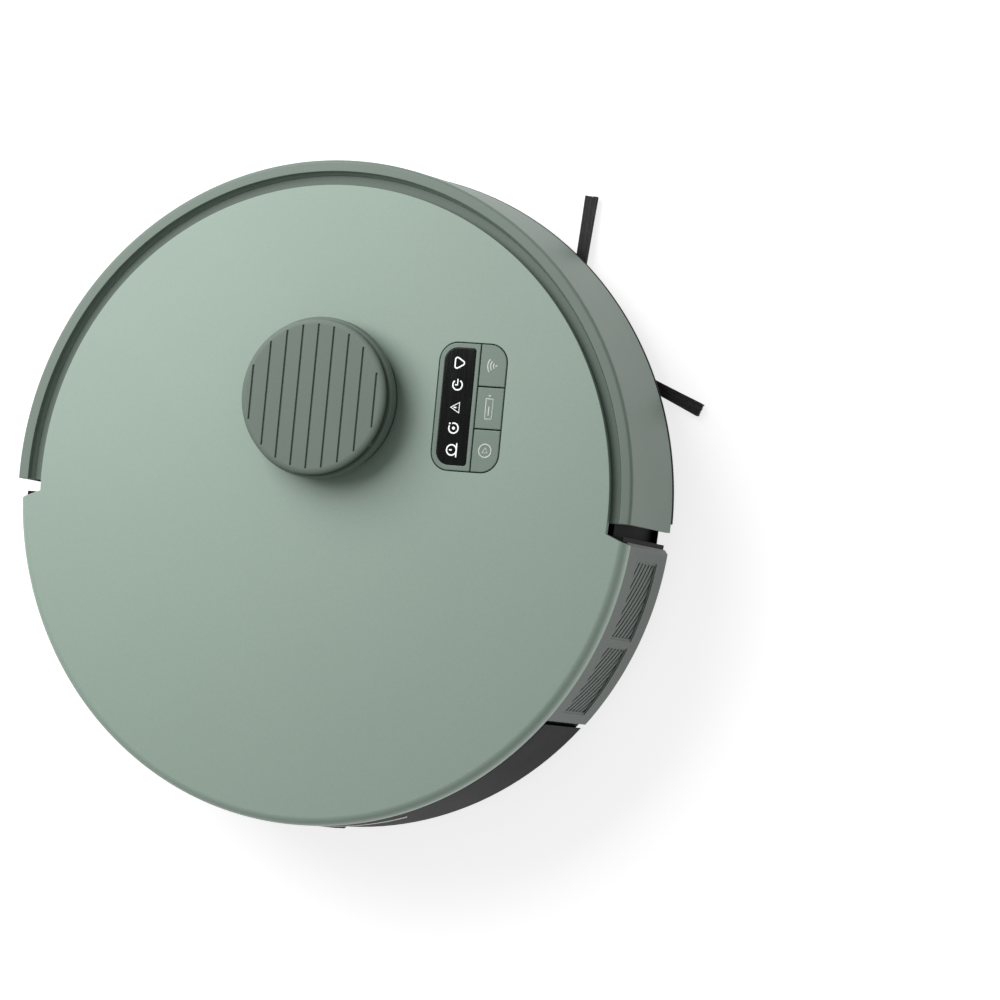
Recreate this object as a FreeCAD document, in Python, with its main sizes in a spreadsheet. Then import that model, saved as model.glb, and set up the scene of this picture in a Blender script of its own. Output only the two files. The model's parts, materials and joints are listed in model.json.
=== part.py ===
import FreeCAD, Part
import math
import os
import re

import Sketcher

# A round robot vacuum with a laser turret. Millimetres, +Z up, +Y forwards, +X to the robot's right.
# The origin is on the floor, below the centre of the round body.

os.makedirs("parts", exist_ok=True)
doc = FreeCAD.newDocument("RobotVacuum")

sizes = {
    # top cover
    "cover_top": 77.0,
    "cover_thick": 3.0,
    "cover_radius": 173.0,
    "cover_round": 4.5,
    "skirt_thick": 2.5,
    "skirt_depth": 7.0,
    "front_radius": 161.0,
    "front_round": 0.8,
    "notch_y": -10.1,
    "notch_fall": 4.4,
    "notch_run": 10.8,
    # front bumper
    "bumper_top_radius": 174.0,
    "bumper_foot_radius": 175.2,
    "bumper_rise": 1.5,
    "bumper_foot": 20.6,
    "bumper_wall": 2.5,
    "bumper_band": 6.0,
    "bumper_end": -4.5,
    "bumper_round": 1.8,
    "bumper_travel": 5.0,
    "ledge_gap": 0.6,
    "ledge_thick": 2.0,
    "ledge_radius": 155.0,
    "ledge_slope": 1.7,
    "ledge_rise": 1.6,
    "lip_tall": 2.4,
    "lip_deep": 2.6,
    "lip_end": 0.0,
    "lip_proud": 0.2,
    # chassis
    "base_bottom": 10.0,
    "floor_thick": 3.0,
    "floor_front_radius": 166.0,
    "floor_rear_radius": 170.0,
    "floor_chamfer": 2.8,
    "front_wall_radius": 162.5,
    "wall_thick": 2.4,
    "front_wall_top": 69.5,
    "side_wall_start": -4.1,
    "notch_wall_gap": 0.6,
    "rim_top": 16.0,
    # side exhaust panels
    "panel_radius": 172.7,
    "panel_thick": 2.5,
    "panel_bottom": 12.4,
    "panel_top_gap": 0.2,
    "panel_front": -4.4,
    "panel_rear": -38.35,
    "window_bottom": 25.5,
    "window_top": 56.0,
    "window_front": -7.1,
    "window_split": -21.85,
    "window_rear": -36.3,
    "window_bar": 1.3,
    "slat_angle": 35.0,
    "slat_pitch": 4.0,
    "slat_thick": 2.8,
    "slat_deep": 1.7,
    "panel_facet": 1.8,
    # laser turret
    "turret_y": 48.4,
    "neck_radius": 39.2,
    "neck_wall": 2.5,
    "neck_gap": 0.3,
    "flange_radius": 46.0,
    "flange_thick": 3.0,
    "ring_radius": 42.0,
    "ring_lift": 8.0,
    "ring_tall": 6.0,
    "ring_round": 1.2,
    "post_radius": 1.6,
    "post_circle": 38.6,
    "slit_tall": 3.0,
    "cap_radius": 40.5,
    "cap_tall": 2.5,
    "cap_round": 1.0,
    "cap_border": 3.2,
    "cap_drop": 1.4,
    "groove_pitch": 8.7,
    "groove_count": 9,
    "groove_wide": 1.0,
    "groove_deep": 0.8,
    # laser drive
    "laser_plate_bottom": 58.0,
    "laser_plate_thick": 3.0,
    "laser_wall": 2.5,
    "laser_motor_offset": 62.0,
    "laser_motor_radius": 11.0,
    "laser_motor_tall": 11.0,
    "laser_lobe": 15.0,
    "rotor_radius": 33.0,
    "rotor_bottom": 66.0,
    "rotor_gap": 0.6,
    "laser_shaft": 5.0,
    "pulley_radius": 24.0,
    "pulley_bottom": 51.0,
    "pulley_tall": 6.0,
    "small_pulley": 6.0,
    "small_shaft": 1.5,
    "belt_gap": 0.15,
    "belt_thick": 1.2,
    "belt_tall": 4.0,
    "running": 0.05,
    # control panel
    "bezel_left": 61.3,
    "bezel_right": 98.3,
    "bezel_rear": 16.5,
    "bezel_front": 82.4,
    "bezel_round": 9.5,
    "bezel_proud": 0.3,
    "bezel_gap": 0.6,
    "bezel_lip": 2.0,
    "lens_left": 64.0,
    "lens_right": 80.9,
    "lens_rear": 19.2,
    "lens_front": 79.8,
    "lens_round": 7.2,
    "lens_thick": 2.0,
    "lens_proud": 0.1,
    "lens_floor": 1.0,
    "button_left": 83.6,
    "button_split_front": 60.6,
    "button_split_rear": 38.7,
    "button_gap": 0.6,
    "button_travel": 0.6,
    "button_lift": 1.0,
    "stem_radius": 2.0,
    "tray_wall": 4.3,
    "tray_bottom": 63.0,
    "tray_floor": 2.0,
    "board_thick": 1.6,
    "switch_tall": 1.2,
    "switch_wide": 5.0,
    # dustbin
    "bin_front": -92.0,
    "bin_half": 95.0,
    "bin_step": -109.0,
    "bin_radius": 172.5,
    "bin_wall": 2.0,
    "bin_bottom": 13.3,
    "bin_top": 66.0,
    "lid_top": 69.3,
    "bay_gap": 0.8,
    "bay_wall": 2.0,
    "mouth_half": 58.0,
    "mouth_bottom": 20.0,
    "mouth_top": 44.0,
    "flap_thick": 1.2,
    "flap_margin": 2.0,
    "flap_gap": 0.3,
    "hinge_radius": 1.5,
    "grip_bottom": 50.0,
    "grip_top": 52.6,
    "grip_sweep": 19.0,
    "grip_proud": 0.5,
    "grip_deep": 0.7,
    "latch_half": 14.0,
    "latch_bottom": 30.0,
    "latch_top": 42.0,
    "latch_gap": 0.3,
    "latch_deep": 4.5,
    "latch_proud": 0.6,
    "filter_left": 61.5,
    "filter_right": 92.0,
    "filter_deep": 10.0,
    "filter_bottom": 17.0,
    "filter_top": 63.0,
    "filter_wall": 1.6,
    "port_left": 83.5,
    "port_right": 93.0,
    "port_bottom": 24.0,
    "port_top": 46.0,
    # blower
    "blower_x": 122.0,
    "blower_y": -74.0,
    "blower_radius": 24.0,
    "blower_top": 50.0,
    "blower_wall": 2.0,
    "impeller_radius": 19.0,
    "impeller_bottom": 19.0,
    "impeller_tall": 12.0,
    "blower_shaft": 2.0,
    "inlet_half": 8.0,
    "outlet_inner": 10.0,
    "outlet_rear": 2.0,
    "outlet_front": 14.0,
    "shaft_grip": 8.0,
    "blower_motor_radius": 12.0,
    "blower_motor_tall": 13.0,
    "duct_left": 82.6,
    "duct_front": -62.0,
    "duct_bottom": 20.0,
    "duct_wall": 1.5,
    # main brush
    "brush_y": -62.0,
    "brush_z": 21.5,
    "brush_core": 9.0,
    "brush_reach": 20.3,
    "brush_half": 77.0,
    "strip_thick": 1.6,
    "strip_inset": 1.5,
    "journal_radius": 4.0,
    "journal_long": 9.0,
    "tunnel_radius": 22.0,
    "tunnel_half": 78.3,
    "housing_half": 81.8,
    "housing_front": -38.2,
    "housing_top": 46.0,
    "guard_thick": 2.6,
    "guard_gap": 0.1,
    "guard_edge": 7.0,
    "guard_slot": 18.0,
    "gearbox_wide": 18.0,
    "gearbox_half": 17.5,
    "gearbox_top": 45.0,
    "brush_motor_radius": 11.0,
    "brush_motor_long": 28.0,
    "brush_motor_z": 30.0,
    # drive wheels
    "wheel_x": 115.0,
    "wheel_radius": 35.0,
    "wheel_wide": 20.0,
    "hub_radius": 27.0,
    "hub_wide": 18.0,
    "hub_shaft": 3.0,
    "hub_shaft_long": 10.0,
    "arm_inner": 88.0,
    "arm_outer": 102.0,
    "arm_wheel_radius": 13.0,
    "arm_pivot_radius": 9.0,
    "pivot_y": 44.0,
    "pivot_z": 38.0,
    "pivot_radius": 3.0,
    "lug_thick": 3.0,
    "lug_inner": 79.5,
    "lug_outer": 103.0,
    "lug_half": 5.0,
    "lug_above": 2.0,
    "well_inner": 84.5,
    "well_outer": 128.5,
    "well_rear": -41.0,
    "well_front": 50.0,
    "rim_thick": 2.0,
    "drive_motor_radius": 11.0,
    "drive_motor_long": 28.0,
    "drive_motor_y": 22.0,
    "drive_motor_z": 37.0,
    "torsion_radius": 5.2,
    "torsion_wire": 0.45,
    "coil_steps": 16,
    "torsion_pitch": 1.3,
    "torsion_turns": 3.0,
    # caster
    "caster_y": 130.0,
    "caster_trail": 6.0,
    "caster_radius": 13.0,
    "caster_wide": 14.0,
    "caster_axle": 1.5,
    "caster_axle_half": 14.0,
    "fork_radius": 23.2,
    "fork_bottom": 10.5,
    "fork_top": 33.0,
    "fork_gap": 0.8,
    "fork_slot_half": 8.2,
    "fork_slot_reach": 15.0,
    "fork_slot_top": 28.5,
    "stem_shaft": 4.0,
    "stem_top": 45.0,
    "cup_wall": 2.5,
    "cup_roof": 36.0,
    "cup_boss": 7.0,
    # side brush
    "side_x": 103.8,
    "side_y": 93.4,
    "side_hub_radius": 9.5,
    "side_hub_bottom": 3.2,
    "side_hub_top": 9.2,
    "side_shaft": 3.0,
    "side_shaft_top": 25.0,
    "side_screw_radius": 3.0,
    "side_screw_tall": 1.3,
    "bristle_reach": 82.8,
    "bristle_tip_wide": 8.0,
    "bristle_root_wide": 6.0,
    "bristle_thick": 3.0,
    "bristle_tip_z": 1.5,
    "bristle_root_z": 4.8,
    "bristle_ahead": 87.0,
    "bristle_aside": -23.0,
    "bristle_inward": -148.0,
    "side_gear_half": 14.5,
    "side_gear_in": 6.3,
    "side_gear_top": 42.0,
    # battery and boards
    "battery_half": 50.0,
    "battery_rear": 56.0,
    "battery_front": 100.0,
    "battery_top": 43.0,
    "battery_round": 3.0,
    "door_inset": 5.0,
    "door_gap": 0.4,
    "main_board_half": 50.0,
    "main_board_rear": -34.0,
    "main_board_front": 40.0,
    "main_board_z": 44.0,
    "board_post": 3.0,
    "board_post_inset": 4.0,
    # bumper springs and switches
    "bumper_spring_x": 40.0,
    "bumper_spring_z": 48.0,
    "bumper_spring_radius": 4.0,
    "bumper_spring_wire": 0.45,
    "spring_pad_radius": 5.5,
    "spring_pad_proud": 0.2,
    "bumper_spring_turns": 4.0,
    "switch_angle": 50.0,
    "switch_reach": 4.0,
    "switch_long": 14.0,
    "switch_bottom": 30.0,
    "switch_top": 38.0,
    # underside fittings and screws
    "contact_x": 38.0,
    "contact_y": 146.0,
    "contact_half": 6.0,
    "contact_deep": 0.8,
    "contact_proud": 0.4,
    "cliff_circle": 153.0,
    "cliff_angle": 22.0,
    "cliff_long": 14.0,
    "cliff_wide": 8.0,
    "cliff_thick": 1.2,
    "cliff_deep": 1.0,
    "boss_radius": 5.0,
    "boss_rear_x": 148.0,
    "boss_rear_y": -40.0,
    "boss_side_x": 138.0,
    "boss_side_y": 42.0,
    "boss_front_x": 55.0,
    "boss_front_y": 130.0,
    "screw_radius": 1.5,
    "screw_long": 20.0,
    "screw_head": 3.0,
    "screw_head_tall": 1.8,
    "screw_recess": 2.0,
}

sheet = doc.addObject("Spreadsheet::Sheet", "Sizes")
for row, (name, number) in enumerate(sizes.items(), start=1):
    sheet.set(f"A{row}", name)
    sheet.set(f"B{row}", str(number))
    sheet.setAlias(f"B{row}", name)
doc.recompute()

up = FreeCAD.Vector(0, 0, 1)
along_x = FreeCAD.Rotation(FreeCAD.Vector(0, 1, 0), 90)
along_y = FreeCAD.Rotation(FreeCAD.Vector(1, 0, 0), -90)
nodes = {}


def formula(text):
    """Writes a formula in plain size names as an expression on the sheet's cells."""
    return re.sub(r"[a-z_]+", lambda word: ("Sizes." if word[0] in sizes else "") + word[0], str(text))


def value(text):
    """The number that a formula in size names gives."""
    return float(sheet.evalExpression(formula(text)))


def keep(name, thing):
    """Makes an object one sub-part, under the name of its file."""
    thing.Label = name
    nodes[name] = thing
    return thing


def place(thing, x, y, z, turn=None):
    """Binds an object's place to formulas, after an optional fixed turn."""
    if turn:
        thing.Placement = FreeCAD.Placement(FreeCAD.Vector(), turn)
    for axis, text in zip("xyz", (x, y, z)):
        thing.setExpression("Placement.Base." + axis, formula(text))
    return thing


def block(name, x, y, z):
    """A box between two formulas on each axis."""
    thing = doc.addObject("Part::Box", name)
    for side, (low, high) in (("Length", x), ("Width", y), ("Height", z)):
        thing.setExpression(side, formula(f"({high}) - ({low})"))
    return place(thing, x[0], y[0], z[0])


def rod(name, radius, length, x, y, z, turn=None):
    """A cylinder that starts at a point and runs up, or along the turned axis."""
    thing = doc.addObject("Part::Cylinder", name)
    thing.setExpression("Radius", formula(radius))
    thing.setExpression("Height", formula(length))
    return place(thing, x, y, z, turn)


def fuse(name, *parts):
    thing = doc.addObject("Part::MultiFuse", name)
    thing.Shapes = list(parts)
    thing.Refine = True
    return thing


def cut(name, base, *tools):
    thing = doc.addObject("Part::Cut", name)
    thing.Base = base
    thing.Tool = tools[0] if len(tools) == 1 else fuse(name + "_tools", *tools)
    thing.Refine = True
    return thing


def solid(name, shape):
    """A sub-part, or a tool for one, whose shape Part's own functions make."""
    thing = doc.addObject("Part::Feature", name)
    thing.Shape = shape
    return thing


def turned(name, corners, x="0", y="0", z="0", turn=None):
    """A body turned about its own Z axis from an outline of (radius, height) corners."""
    body = doc.addObject("PartDesign::Body", name)
    sketch = outline(body, "XZ_Plane", corners)
    feature = body.newObject("PartDesign::Revolution", name + "_turn")
    feature.Profile = sketch
    feature.ReferenceAxis = (sketch, ["V_Axis"])
    feature.Angle = 360
    return place(body, x, y, z, turn)


def outline(body, plane, corners):
    """A closed sketch on one of the body's origin planes, each corner bound to two formulas."""
    sketch = body.newObject("Sketcher::SketchObject", body.Name + "_outline")
    support = next(f for f in body.Origin.OriginFeatures if f.Role == plane)
    sketch.AttachmentSupport = [(support, "")]
    sketch.MapMode = "FlatFace"
    points = [FreeCAD.Vector(value(across), value(rise), 0) for across, rise in corners]
    for start, end in zip(points, points[1:] + points[:1]):
        sketch.addGeometry(Part.LineSegment(start, end), False)
    count = len(corners)
    for side in range(count):
        sketch.addConstraint(Sketcher.Constraint("Coincident", side, 2, (side + 1) % count, 1))
    for side, (point, corner) in enumerate(zip(points, corners)):
        for kind, number, text in (("DistanceX", point.x, corner[0]), ("DistanceY", point.y, corner[1])):
            rule = sketch.addConstraint(Sketcher.Constraint(kind, -1, 1, side, 1, number))
            sketch.setExpression(f"Constraints[{rule}]", formula(text))
    return sketch


def plate(name, x, y, z, corner=None, where=None):
    """A padded rectangle, with its upright edges rounded where the test on x and y allows."""
    body = doc.addObject("PartDesign::Body", name)
    corners = [(x[0], y[0]), (x[1], y[0]), (x[1], y[1]), (x[0], y[1])]
    sketch = outline(body, "XY_Plane", corners)
    pad = body.newObject("PartDesign::Pad", name + "_pad")
    pad.Profile = sketch
    pad.setExpression("Length", formula(f"({z[1]}) - ({z[0]})"))
    place(body, "0", "0", z[0])
    if corner:
        doc.recompute()
        upright = [
            f"Edge{index}"
            for index, edge in enumerate(pad.Shape.Edges, start=1)
            if edge.BoundBox.ZLength > edge.BoundBox.XLength + edge.BoundBox.YLength
            and (where is None or where(edge.CenterOfMass))
        ]
        rounded = body.newObject("PartDesign::Fillet", name + "_corners")
        rounded.Base = (pad, upright)
        rounded.setExpression("Radius", formula(corner))
    return body


def soften(name, base, radius, test):
    """Rounds every edge of an object that passes the test."""
    doc.recompute()
    thing = doc.addObject("Part::Fillet", name)
    thing.Base = base
    size = value(radius)
    thing.Edges = [(i, size, size) for i, edge in enumerate(base.Shape.Edges, start=1) if test(edge)]
    return thing


def at_circle(radius, height):
    """A test for round edges about Z of a given radius and height."""
    wanted, level = value(radius), value(height)

    def test(edge):
        round_edge = isinstance(edge.Curve, Part.Circle)
        return (
            round_edge
            and abs(edge.Curve.Radius - wanted) < 0.01
            and abs(edge.Curve.Center.z - level) < 0.01
            and abs(edge.Curve.Axis.z) > 0.99
        )

    return test


def sector(outer, inner, bottom, top, start, end):
    """A piece of ring about Z between two angles in degrees."""
    low, tall = value(bottom), value(top) - value(bottom)
    foot = FreeCAD.Vector(0, 0, low)
    ring = Part.makeCylinder(value(outer), tall, foot, up, end - start)
    ring.rotate(FreeCAD.Vector(), up, start)
    return ring.cut(Part.makeCylinder(value(inner), tall, foot, up))


def mirrored(shape):
    return shape.mirror(FreeCAD.Vector(), FreeCAD.Vector(1, 0, 0))


def belt_face(large, small, apart):
    """The face inside a loop pulled tight round two circles, the small one on the -X side."""
    lean = math.acos((large - small) / apart)
    rims = []
    for radius, centre in ((large, 0), (small, -apart)):
        rims.append([
            FreeCAD.Vector(centre + radius * math.cos(a), radius * math.sin(a), 0)
            for a in (math.pi - lean, math.pi + lean)
        ])
    (large_top, large_foot), (small_top, small_foot) = rims
    large_arc = Part.Arc(large_foot, FreeCAD.Vector(large, 0, 0), large_top)
    small_arc = Part.Arc(small_top, FreeCAD.Vector(-apart - small, 0, 0), small_foot)
    wire = Part.Wire([
        large_arc.toShape(),
        Part.makeLine(large_top, small_top),
        small_arc.toShape(),
        Part.makeLine(small_foot, large_foot),
    ])
    return Part.Face(wire)


def coil(radius, half_wire, pitch, turns):
    """A square-wire spring that winds up from the XY plane in short straight steps."""
    steps = int(value("coil_steps"))
    corners = ((-1, -1), (1, -1), (1, 1), (-1, 1), (-1, -1))
    sections = []
    for step in range(round(turns * steps) + 1):
        angle = 2 * math.pi * step / steps
        outward = FreeCAD.Vector(math.cos(angle), math.sin(angle), 0)
        rise = pitch * step / steps
        sections.append(Part.makePolygon([
            outward * (radius + side * half_wire) + up * (rise + level * half_wire)
            for side, level in corners]))
    return Part.makeLoft(sections, True, True)


# Levels that several pieces share, as formulas.
cover_under = "cover_top - cover_thick"
skirt_foot = "cover_top - skirt_depth"
floor_top = "base_bottom + floor_thick"
ring_bottom = "cover_top + ring_lift"
ring_top = f"{ring_bottom} + ring_tall"
slit_top = f"{ring_top} + slit_tall"
cap_top = f"{slit_top} + cap_tall"
spring_pad = "sqrt(front_wall_radius ^ 2 - (bumper_spring_x - spring_pad_radius) ^ 2) + spring_pad_proud"


def make_cover():
    """A flat lid with a skirt round the rear, stepped in at the front where the bumper sits."""
    skirt_inside = "cover_radius - skirt_thick"
    shell = turned("cover_shell", [
        ("0", cover_under), (skirt_inside, cover_under), (skirt_inside, skirt_foot),
        ("cover_radius", skirt_foot), ("cover_radius", "cover_top"), ("0", "cover_top"),
    ])
    corner_y = value("notch_y")
    corner_x = math.sqrt(value("front_radius") ** 2 - corner_y ** 2)
    beyond = 2 * value("cover_radius")
    slope_y = corner_y - value("notch_fall / notch_run") * (beyond - corner_x)
    low = value(skirt_foot) - 1
    right, left = FreeCAD.Vector(corner_x, corner_y, low), FreeCAD.Vector(-corner_x, corner_y, low)
    rim = Part.Arc(left, FreeCAD.Vector(0, value("front_radius"), low), right)
    far = [(beyond, slope_y), (beyond, beyond), (-beyond, beyond), (-beyond, slope_y)]
    path = [right, *(FreeCAD.Vector(x, y, low) for x, y in far), left]
    step_wire = Part.Wire([rim.toShape(), *Part.makePolygon(path).Edges])
    step = solid("cover_step", Part.Face(step_wire).extrude(up * (value("skirt_depth") + 2)))
    turret_hole = rod("turret_hole", "neck_radius + neck_gap", "cover_thick + 2",
                      "0", "turret_y", f"{cover_under} - 1")
    panel_hole = plate("panel_hole", ("bezel_left - bezel_gap", "bezel_right + bezel_gap"),
                       ("bezel_rear - bezel_gap", "bezel_front + bezel_gap"),
                       (f"{cover_under} - 1", "cover_top + 1"), "bezel_round + bezel_gap")
    trimmed = cut("cover_trimmed", shell, step, turret_hole, panel_hole)
    rear_edge = at_circle("cover_radius", "cover_top")
    softened = soften("cover_rear_round", trimmed, "cover_round", rear_edge)
    keep("top_cover", softened)


def make_bumper():
    """A half ring with a raised band on top and a ledge that slides under the cover's rim."""
    top = "cover_top + bumper_rise"
    ledge_top = f"{cover_under} - ledge_gap"
    ledge_foot = f"{cover_under} - ledge_gap - ledge_thick"
    band = "bumper_top_radius - bumper_band"
    ring = turned("bumper_ring", [
        ("bumper_foot_radius", "bumper_foot"), ("bumper_top_radius", top), (band, top),
        (band, f"{ledge_top} + ledge_rise"), (f"{band} - ledge_slope", ledge_top),
        ("ledge_radius", ledge_top), ("ledge_radius", ledge_foot), (band, ledge_foot),
        ("bumper_top_radius - bumper_wall", f"{ledge_foot} + ledge_thick"),
        ("bumper_foot_radius - bumper_wall", "bumper_foot"),
    ])
    far = "bumper_foot_radius + 5"
    behind = block("bumper_behind", (f"-({far})", far), (f"-({far})", "bumper_end"), ("0", "cover_top * 2"))
    half = cut("bumper_half", ring, behind)
    edge = at_circle("bumper_top_radius", top)
    keep("front_bumper", soften("bumper_round_edge", half, "bumper_round", edge))
    lip_ring = turned("lip_ring", [
        ("bumper_foot_radius - lip_deep", "bumper_foot - lip_tall"),
        ("bumper_foot_radius + lip_proud", "bumper_foot - lip_tall"),
        ("bumper_foot_radius + lip_proud", "bumper_foot"),
        ("bumper_foot_radius - lip_deep", "bumper_foot"),
    ])
    behind_lip = block("lip_behind", (f"-({far})", far), (f"-({far})", "lip_end"), ("0", "cover_top"))
    keep("bumper_lip", cut("lip_half", lip_ring, behind_lip))


def make_side_panels():
    """Two curved panels with slatted exhaust windows, mirror images of each other."""
    inner = "panel_radius - panel_thick"
    top = f"{skirt_foot} - panel_top_gap"
    panel = sector("panel_radius", inner, "panel_bottom", top, value("panel_rear"), value("panel_front"))
    bar = value("window_bar") / 2
    split = value("window_split")
    spans = [(value("window_rear"), split - bar), (split + bar, value("window_front"))]
    tall = value("window_top") - value("window_bottom")
    reach = value("panel_radius")
    for start, end in spans:
        hole = sector("panel_radius + 1", f"{inner} - 1", "window_bottom", "window_top", start, end)
        panel = panel.cut(hole)
        grille = sector(f"{inner} + slat_deep", inner, "window_bottom", "window_top", start, end)
        slats = slat_set(math.radians((start + end) / 2), math.radians(end - start) * reach, tall)
        panel = panel.fuse(grille.common(slats))
    panel = panel.removeSplitter()
    front = math.radians(value("panel_front"))
    corner = FreeCAD.Vector(reach * math.cos(front), reach * math.sin(front), 0)
    facet = [
        edge for edge in panel.Edges
        if all(FreeCAD.Vector(spot.X, spot.Y, 0).distanceToPoint(corner) < value("running")
               for spot in edge.Vertexes)
    ]
    panel = panel.makeChamfer(value("panel_facet"), facet)
    keep("exhaust_panel_right", solid("panel_right", panel))
    keep("exhaust_panel_left", solid("panel_left", mirrored(panel)))


def slat_set(angle, wide, tall):
    """Parallel slats that rise to the rear, standing across one window of the panel."""
    lean = value("slat_angle")
    pitch = value("slat_pitch")
    long = wide + tall
    count = math.ceil(long / pitch)
    reach = value("panel_radius")
    deep = 20.0
    middle = FreeCAD.Vector(reach * math.cos(angle), reach * math.sin(angle),
                            value("(window_bottom + window_top) / 2"))
    bars = []
    for number in range(-count // 2, count // 2 + 1):
        bar = Part.makeBox(deep, long, value("slat_thick"),
                           FreeCAD.Vector(-deep / 2, -long / 2, number * pitch - value("slat_thick") / 2))
        bar.rotate(FreeCAD.Vector(), FreeCAD.Vector(1, 0, 0), -lean)
        bar.rotate(FreeCAD.Vector(), up, math.degrees(angle))
        bar.translate(middle)
        bars.append(bar)
    return Part.makeCompound(bars)


def bin_plan(spread=0.0):
    """The dustbin's plan as a face, grown by a spread on every side but the round rear."""
    front, half, step = value("bin_front") + spread, value("bin_half") + spread, value("bin_step") + spread
    radius = value("bin_radius")
    corner = math.sqrt(radius ** 2 - step ** 2)
    points = [FreeCAD.Vector(x, y, 0) for x, y in (
        (corner, step), (half, step), (half, front), (-half, front), (-half, step), (-corner, step))]
    rear = Part.Arc(points[-1], FreeCAD.Vector(0, -radius, 0), points[0])
    return Part.Face(Part.Wire([*Part.makePolygon(points).Edges, rear.toShape()]))


def upright(face, bottom, top):
    shape = face.extrude(up * (value(top) - value(bottom)))
    shape.translate(up * value(bottom))
    return shape


def make_dustbin():
    """A pull-out bin with a curved rear wall, its lid, mouth flap, filter, grip bar and latch."""
    outer = upright(bin_plan(), "bin_bottom", "bin_top")
    face = bin_plan()
    hollow_face = face.makeOffset2D(-value("bin_wall"))
    hollow = upright(hollow_face, "bin_bottom + bin_wall", "bin_top + 1")
    shell = solid("bin_shell", outer.cut(hollow))
    through = ("bin_front - bin_wall - 1", "bin_front + 1")
    mouth = block("bin_mouth", ("-mouth_half", "mouth_half"), through, ("mouth_bottom", "mouth_top"))
    port = block("bin_port", ("port_left", "port_right"), through, ("port_bottom", "port_top"))
    grip = sector("bin_radius + grip_proud", "bin_radius - grip_deep", "grip_bottom", "grip_top",
                  -90 - value("grip_sweep"), -90 + value("grip_sweep"))
    grip_bar = solid("grip_bar", grip)
    latch_hole = block("latch_hole", ("-latch_half - latch_gap", "latch_half + latch_gap"),
                       ("-bin_radius - 1", "-bin_radius + bin_wall + 2"),
                       ("latch_bottom - latch_gap", "latch_top + latch_gap"))
    keep("dustbin_body", cut("bin_cut", shell, mouth, port, grip_bar, latch_hole))
    keep("dustbin_grip", solid("grip", grip))
    keep("dustbin_lid", solid("lid", upright(bin_plan(), "bin_top", "lid_top")))
    latch = plate("latch", ("-latch_half", "latch_half"),
                  ("-bin_radius - latch_proud", "-bin_radius - latch_proud + latch_deep"),
                  ("latch_bottom", "latch_top"), "1.5", lambda point: point.y < -value("bin_radius"))
    keep("dustbin_latch", latch)
    inside = "bin_front - bin_wall - flap_gap"
    flap = block("flap_plate", ("-mouth_half - flap_margin", "mouth_half + flap_margin"),
                 (f"{inside} - flap_thick", inside),
                 ("mouth_bottom - flap_margin", "mouth_top + flap_margin"))
    pin = rod("flap_pin", "hinge_radius", "2 * mouth_half + 2 * flap_margin", "-mouth_half - flap_margin",
              f"{inside} - hinge_radius", "mouth_top + flap_margin", along_x)
    keep("dustbin_flap", fuse("flap", flap, pin))
    deep = ("bin_front - bin_wall - filter_deep", "bin_front - bin_wall")
    frame = block("filter_outer", ("filter_left", "filter_right"), deep, ("filter_bottom", "filter_top"))
    hole = block("filter_hole", ("filter_left + filter_wall", "filter_right - filter_wall"),
                 (f"{deep[0]} - 1", f"{deep[1]} + 1"),
                 ("filter_bottom + filter_wall", "filter_top - filter_wall"))
    keep("filter_frame", cut("filter_ring", frame, hole))
    keep("filter_pleats", block("filter", ("filter_left + filter_wall", "filter_right - filter_wall"),
                                (f"{deep[0]} + 1", f"{deep[1]} - 1"),
                                ("filter_bottom + filter_wall", "filter_top - filter_wall")))


def make_turret():
    """The fixed ring with its neck and posts, the grooved cap, and the spinning laser head."""
    inner = "neck_radius - neck_wall"
    flange_foot = f"{cover_under} - flange_thick"
    ring = turned("turret_neck", [
        (inner, flange_foot), ("flange_radius", flange_foot), ("flange_radius", cover_under),
        ("neck_radius", cover_under), ("neck_radius", ring_bottom), ("ring_radius", ring_bottom),
        ("ring_radius", ring_top), (inner, ring_top),
    ], y="turret_y")
    rounded = soften("turret_ring_round", ring, "ring_round", at_circle("ring_radius", ring_top))
    posts = []
    for number in range(3):
        angle = math.radians(-35 + 120 * number)
        posts.append(rod(f"turret_post_{number}", "post_radius", "slit_tall",
                         f"post_circle * {math.cos(angle):.9f}",
                         f"turret_y + post_circle * {math.sin(angle):.9f}", ring_top))
    keep("turret_ring", fuse("turret_ring_posts", rounded, *posts))
    shoulder = f"{cap_top} - cap_drop"
    cap = turned("cap_disc", [
        ("0", slit_top), ("cap_radius", slit_top), ("cap_radius", shoulder),
        ("cap_radius - cap_border", cap_top), ("0", cap_top),
    ], y="turret_y")
    domed = soften("cap_round_edge", cap, "cap_round", at_circle("cap_radius", shoulder))
    grooves = []
    for number in range(int(value("groove_count"))):
        across = f"groove_pitch * ({number} - (groove_count - 1) / 2)"
        sides = (f"{across} - groove_wide / 2", f"{across} + groove_wide / 2")
        ends = ("turret_y - cap_radius", "turret_y + cap_radius")
        levels = (f"{cap_top} - groove_deep", f"{cap_top} + 1")
        grooves.append(block(f"cap_groove_{number}", sides, ends, levels))
    keep("turret_cap", cut("cap", domed, *grooves))
    head_top = f"{slit_top} - rotor_gap"
    pulley_top = "pulley_bottom + pulley_tall"
    head = turned("laser_head", [
        ("0", "pulley_bottom"), ("pulley_radius", "pulley_bottom"), ("pulley_radius", pulley_top),
        ("laser_shaft", pulley_top), ("laser_shaft", "rotor_bottom"), ("rotor_radius", "rotor_bottom"),
        ("rotor_radius", head_top), ("0", head_top),
    ], y="turret_y")
    keep("laser_rotor", head)


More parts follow.
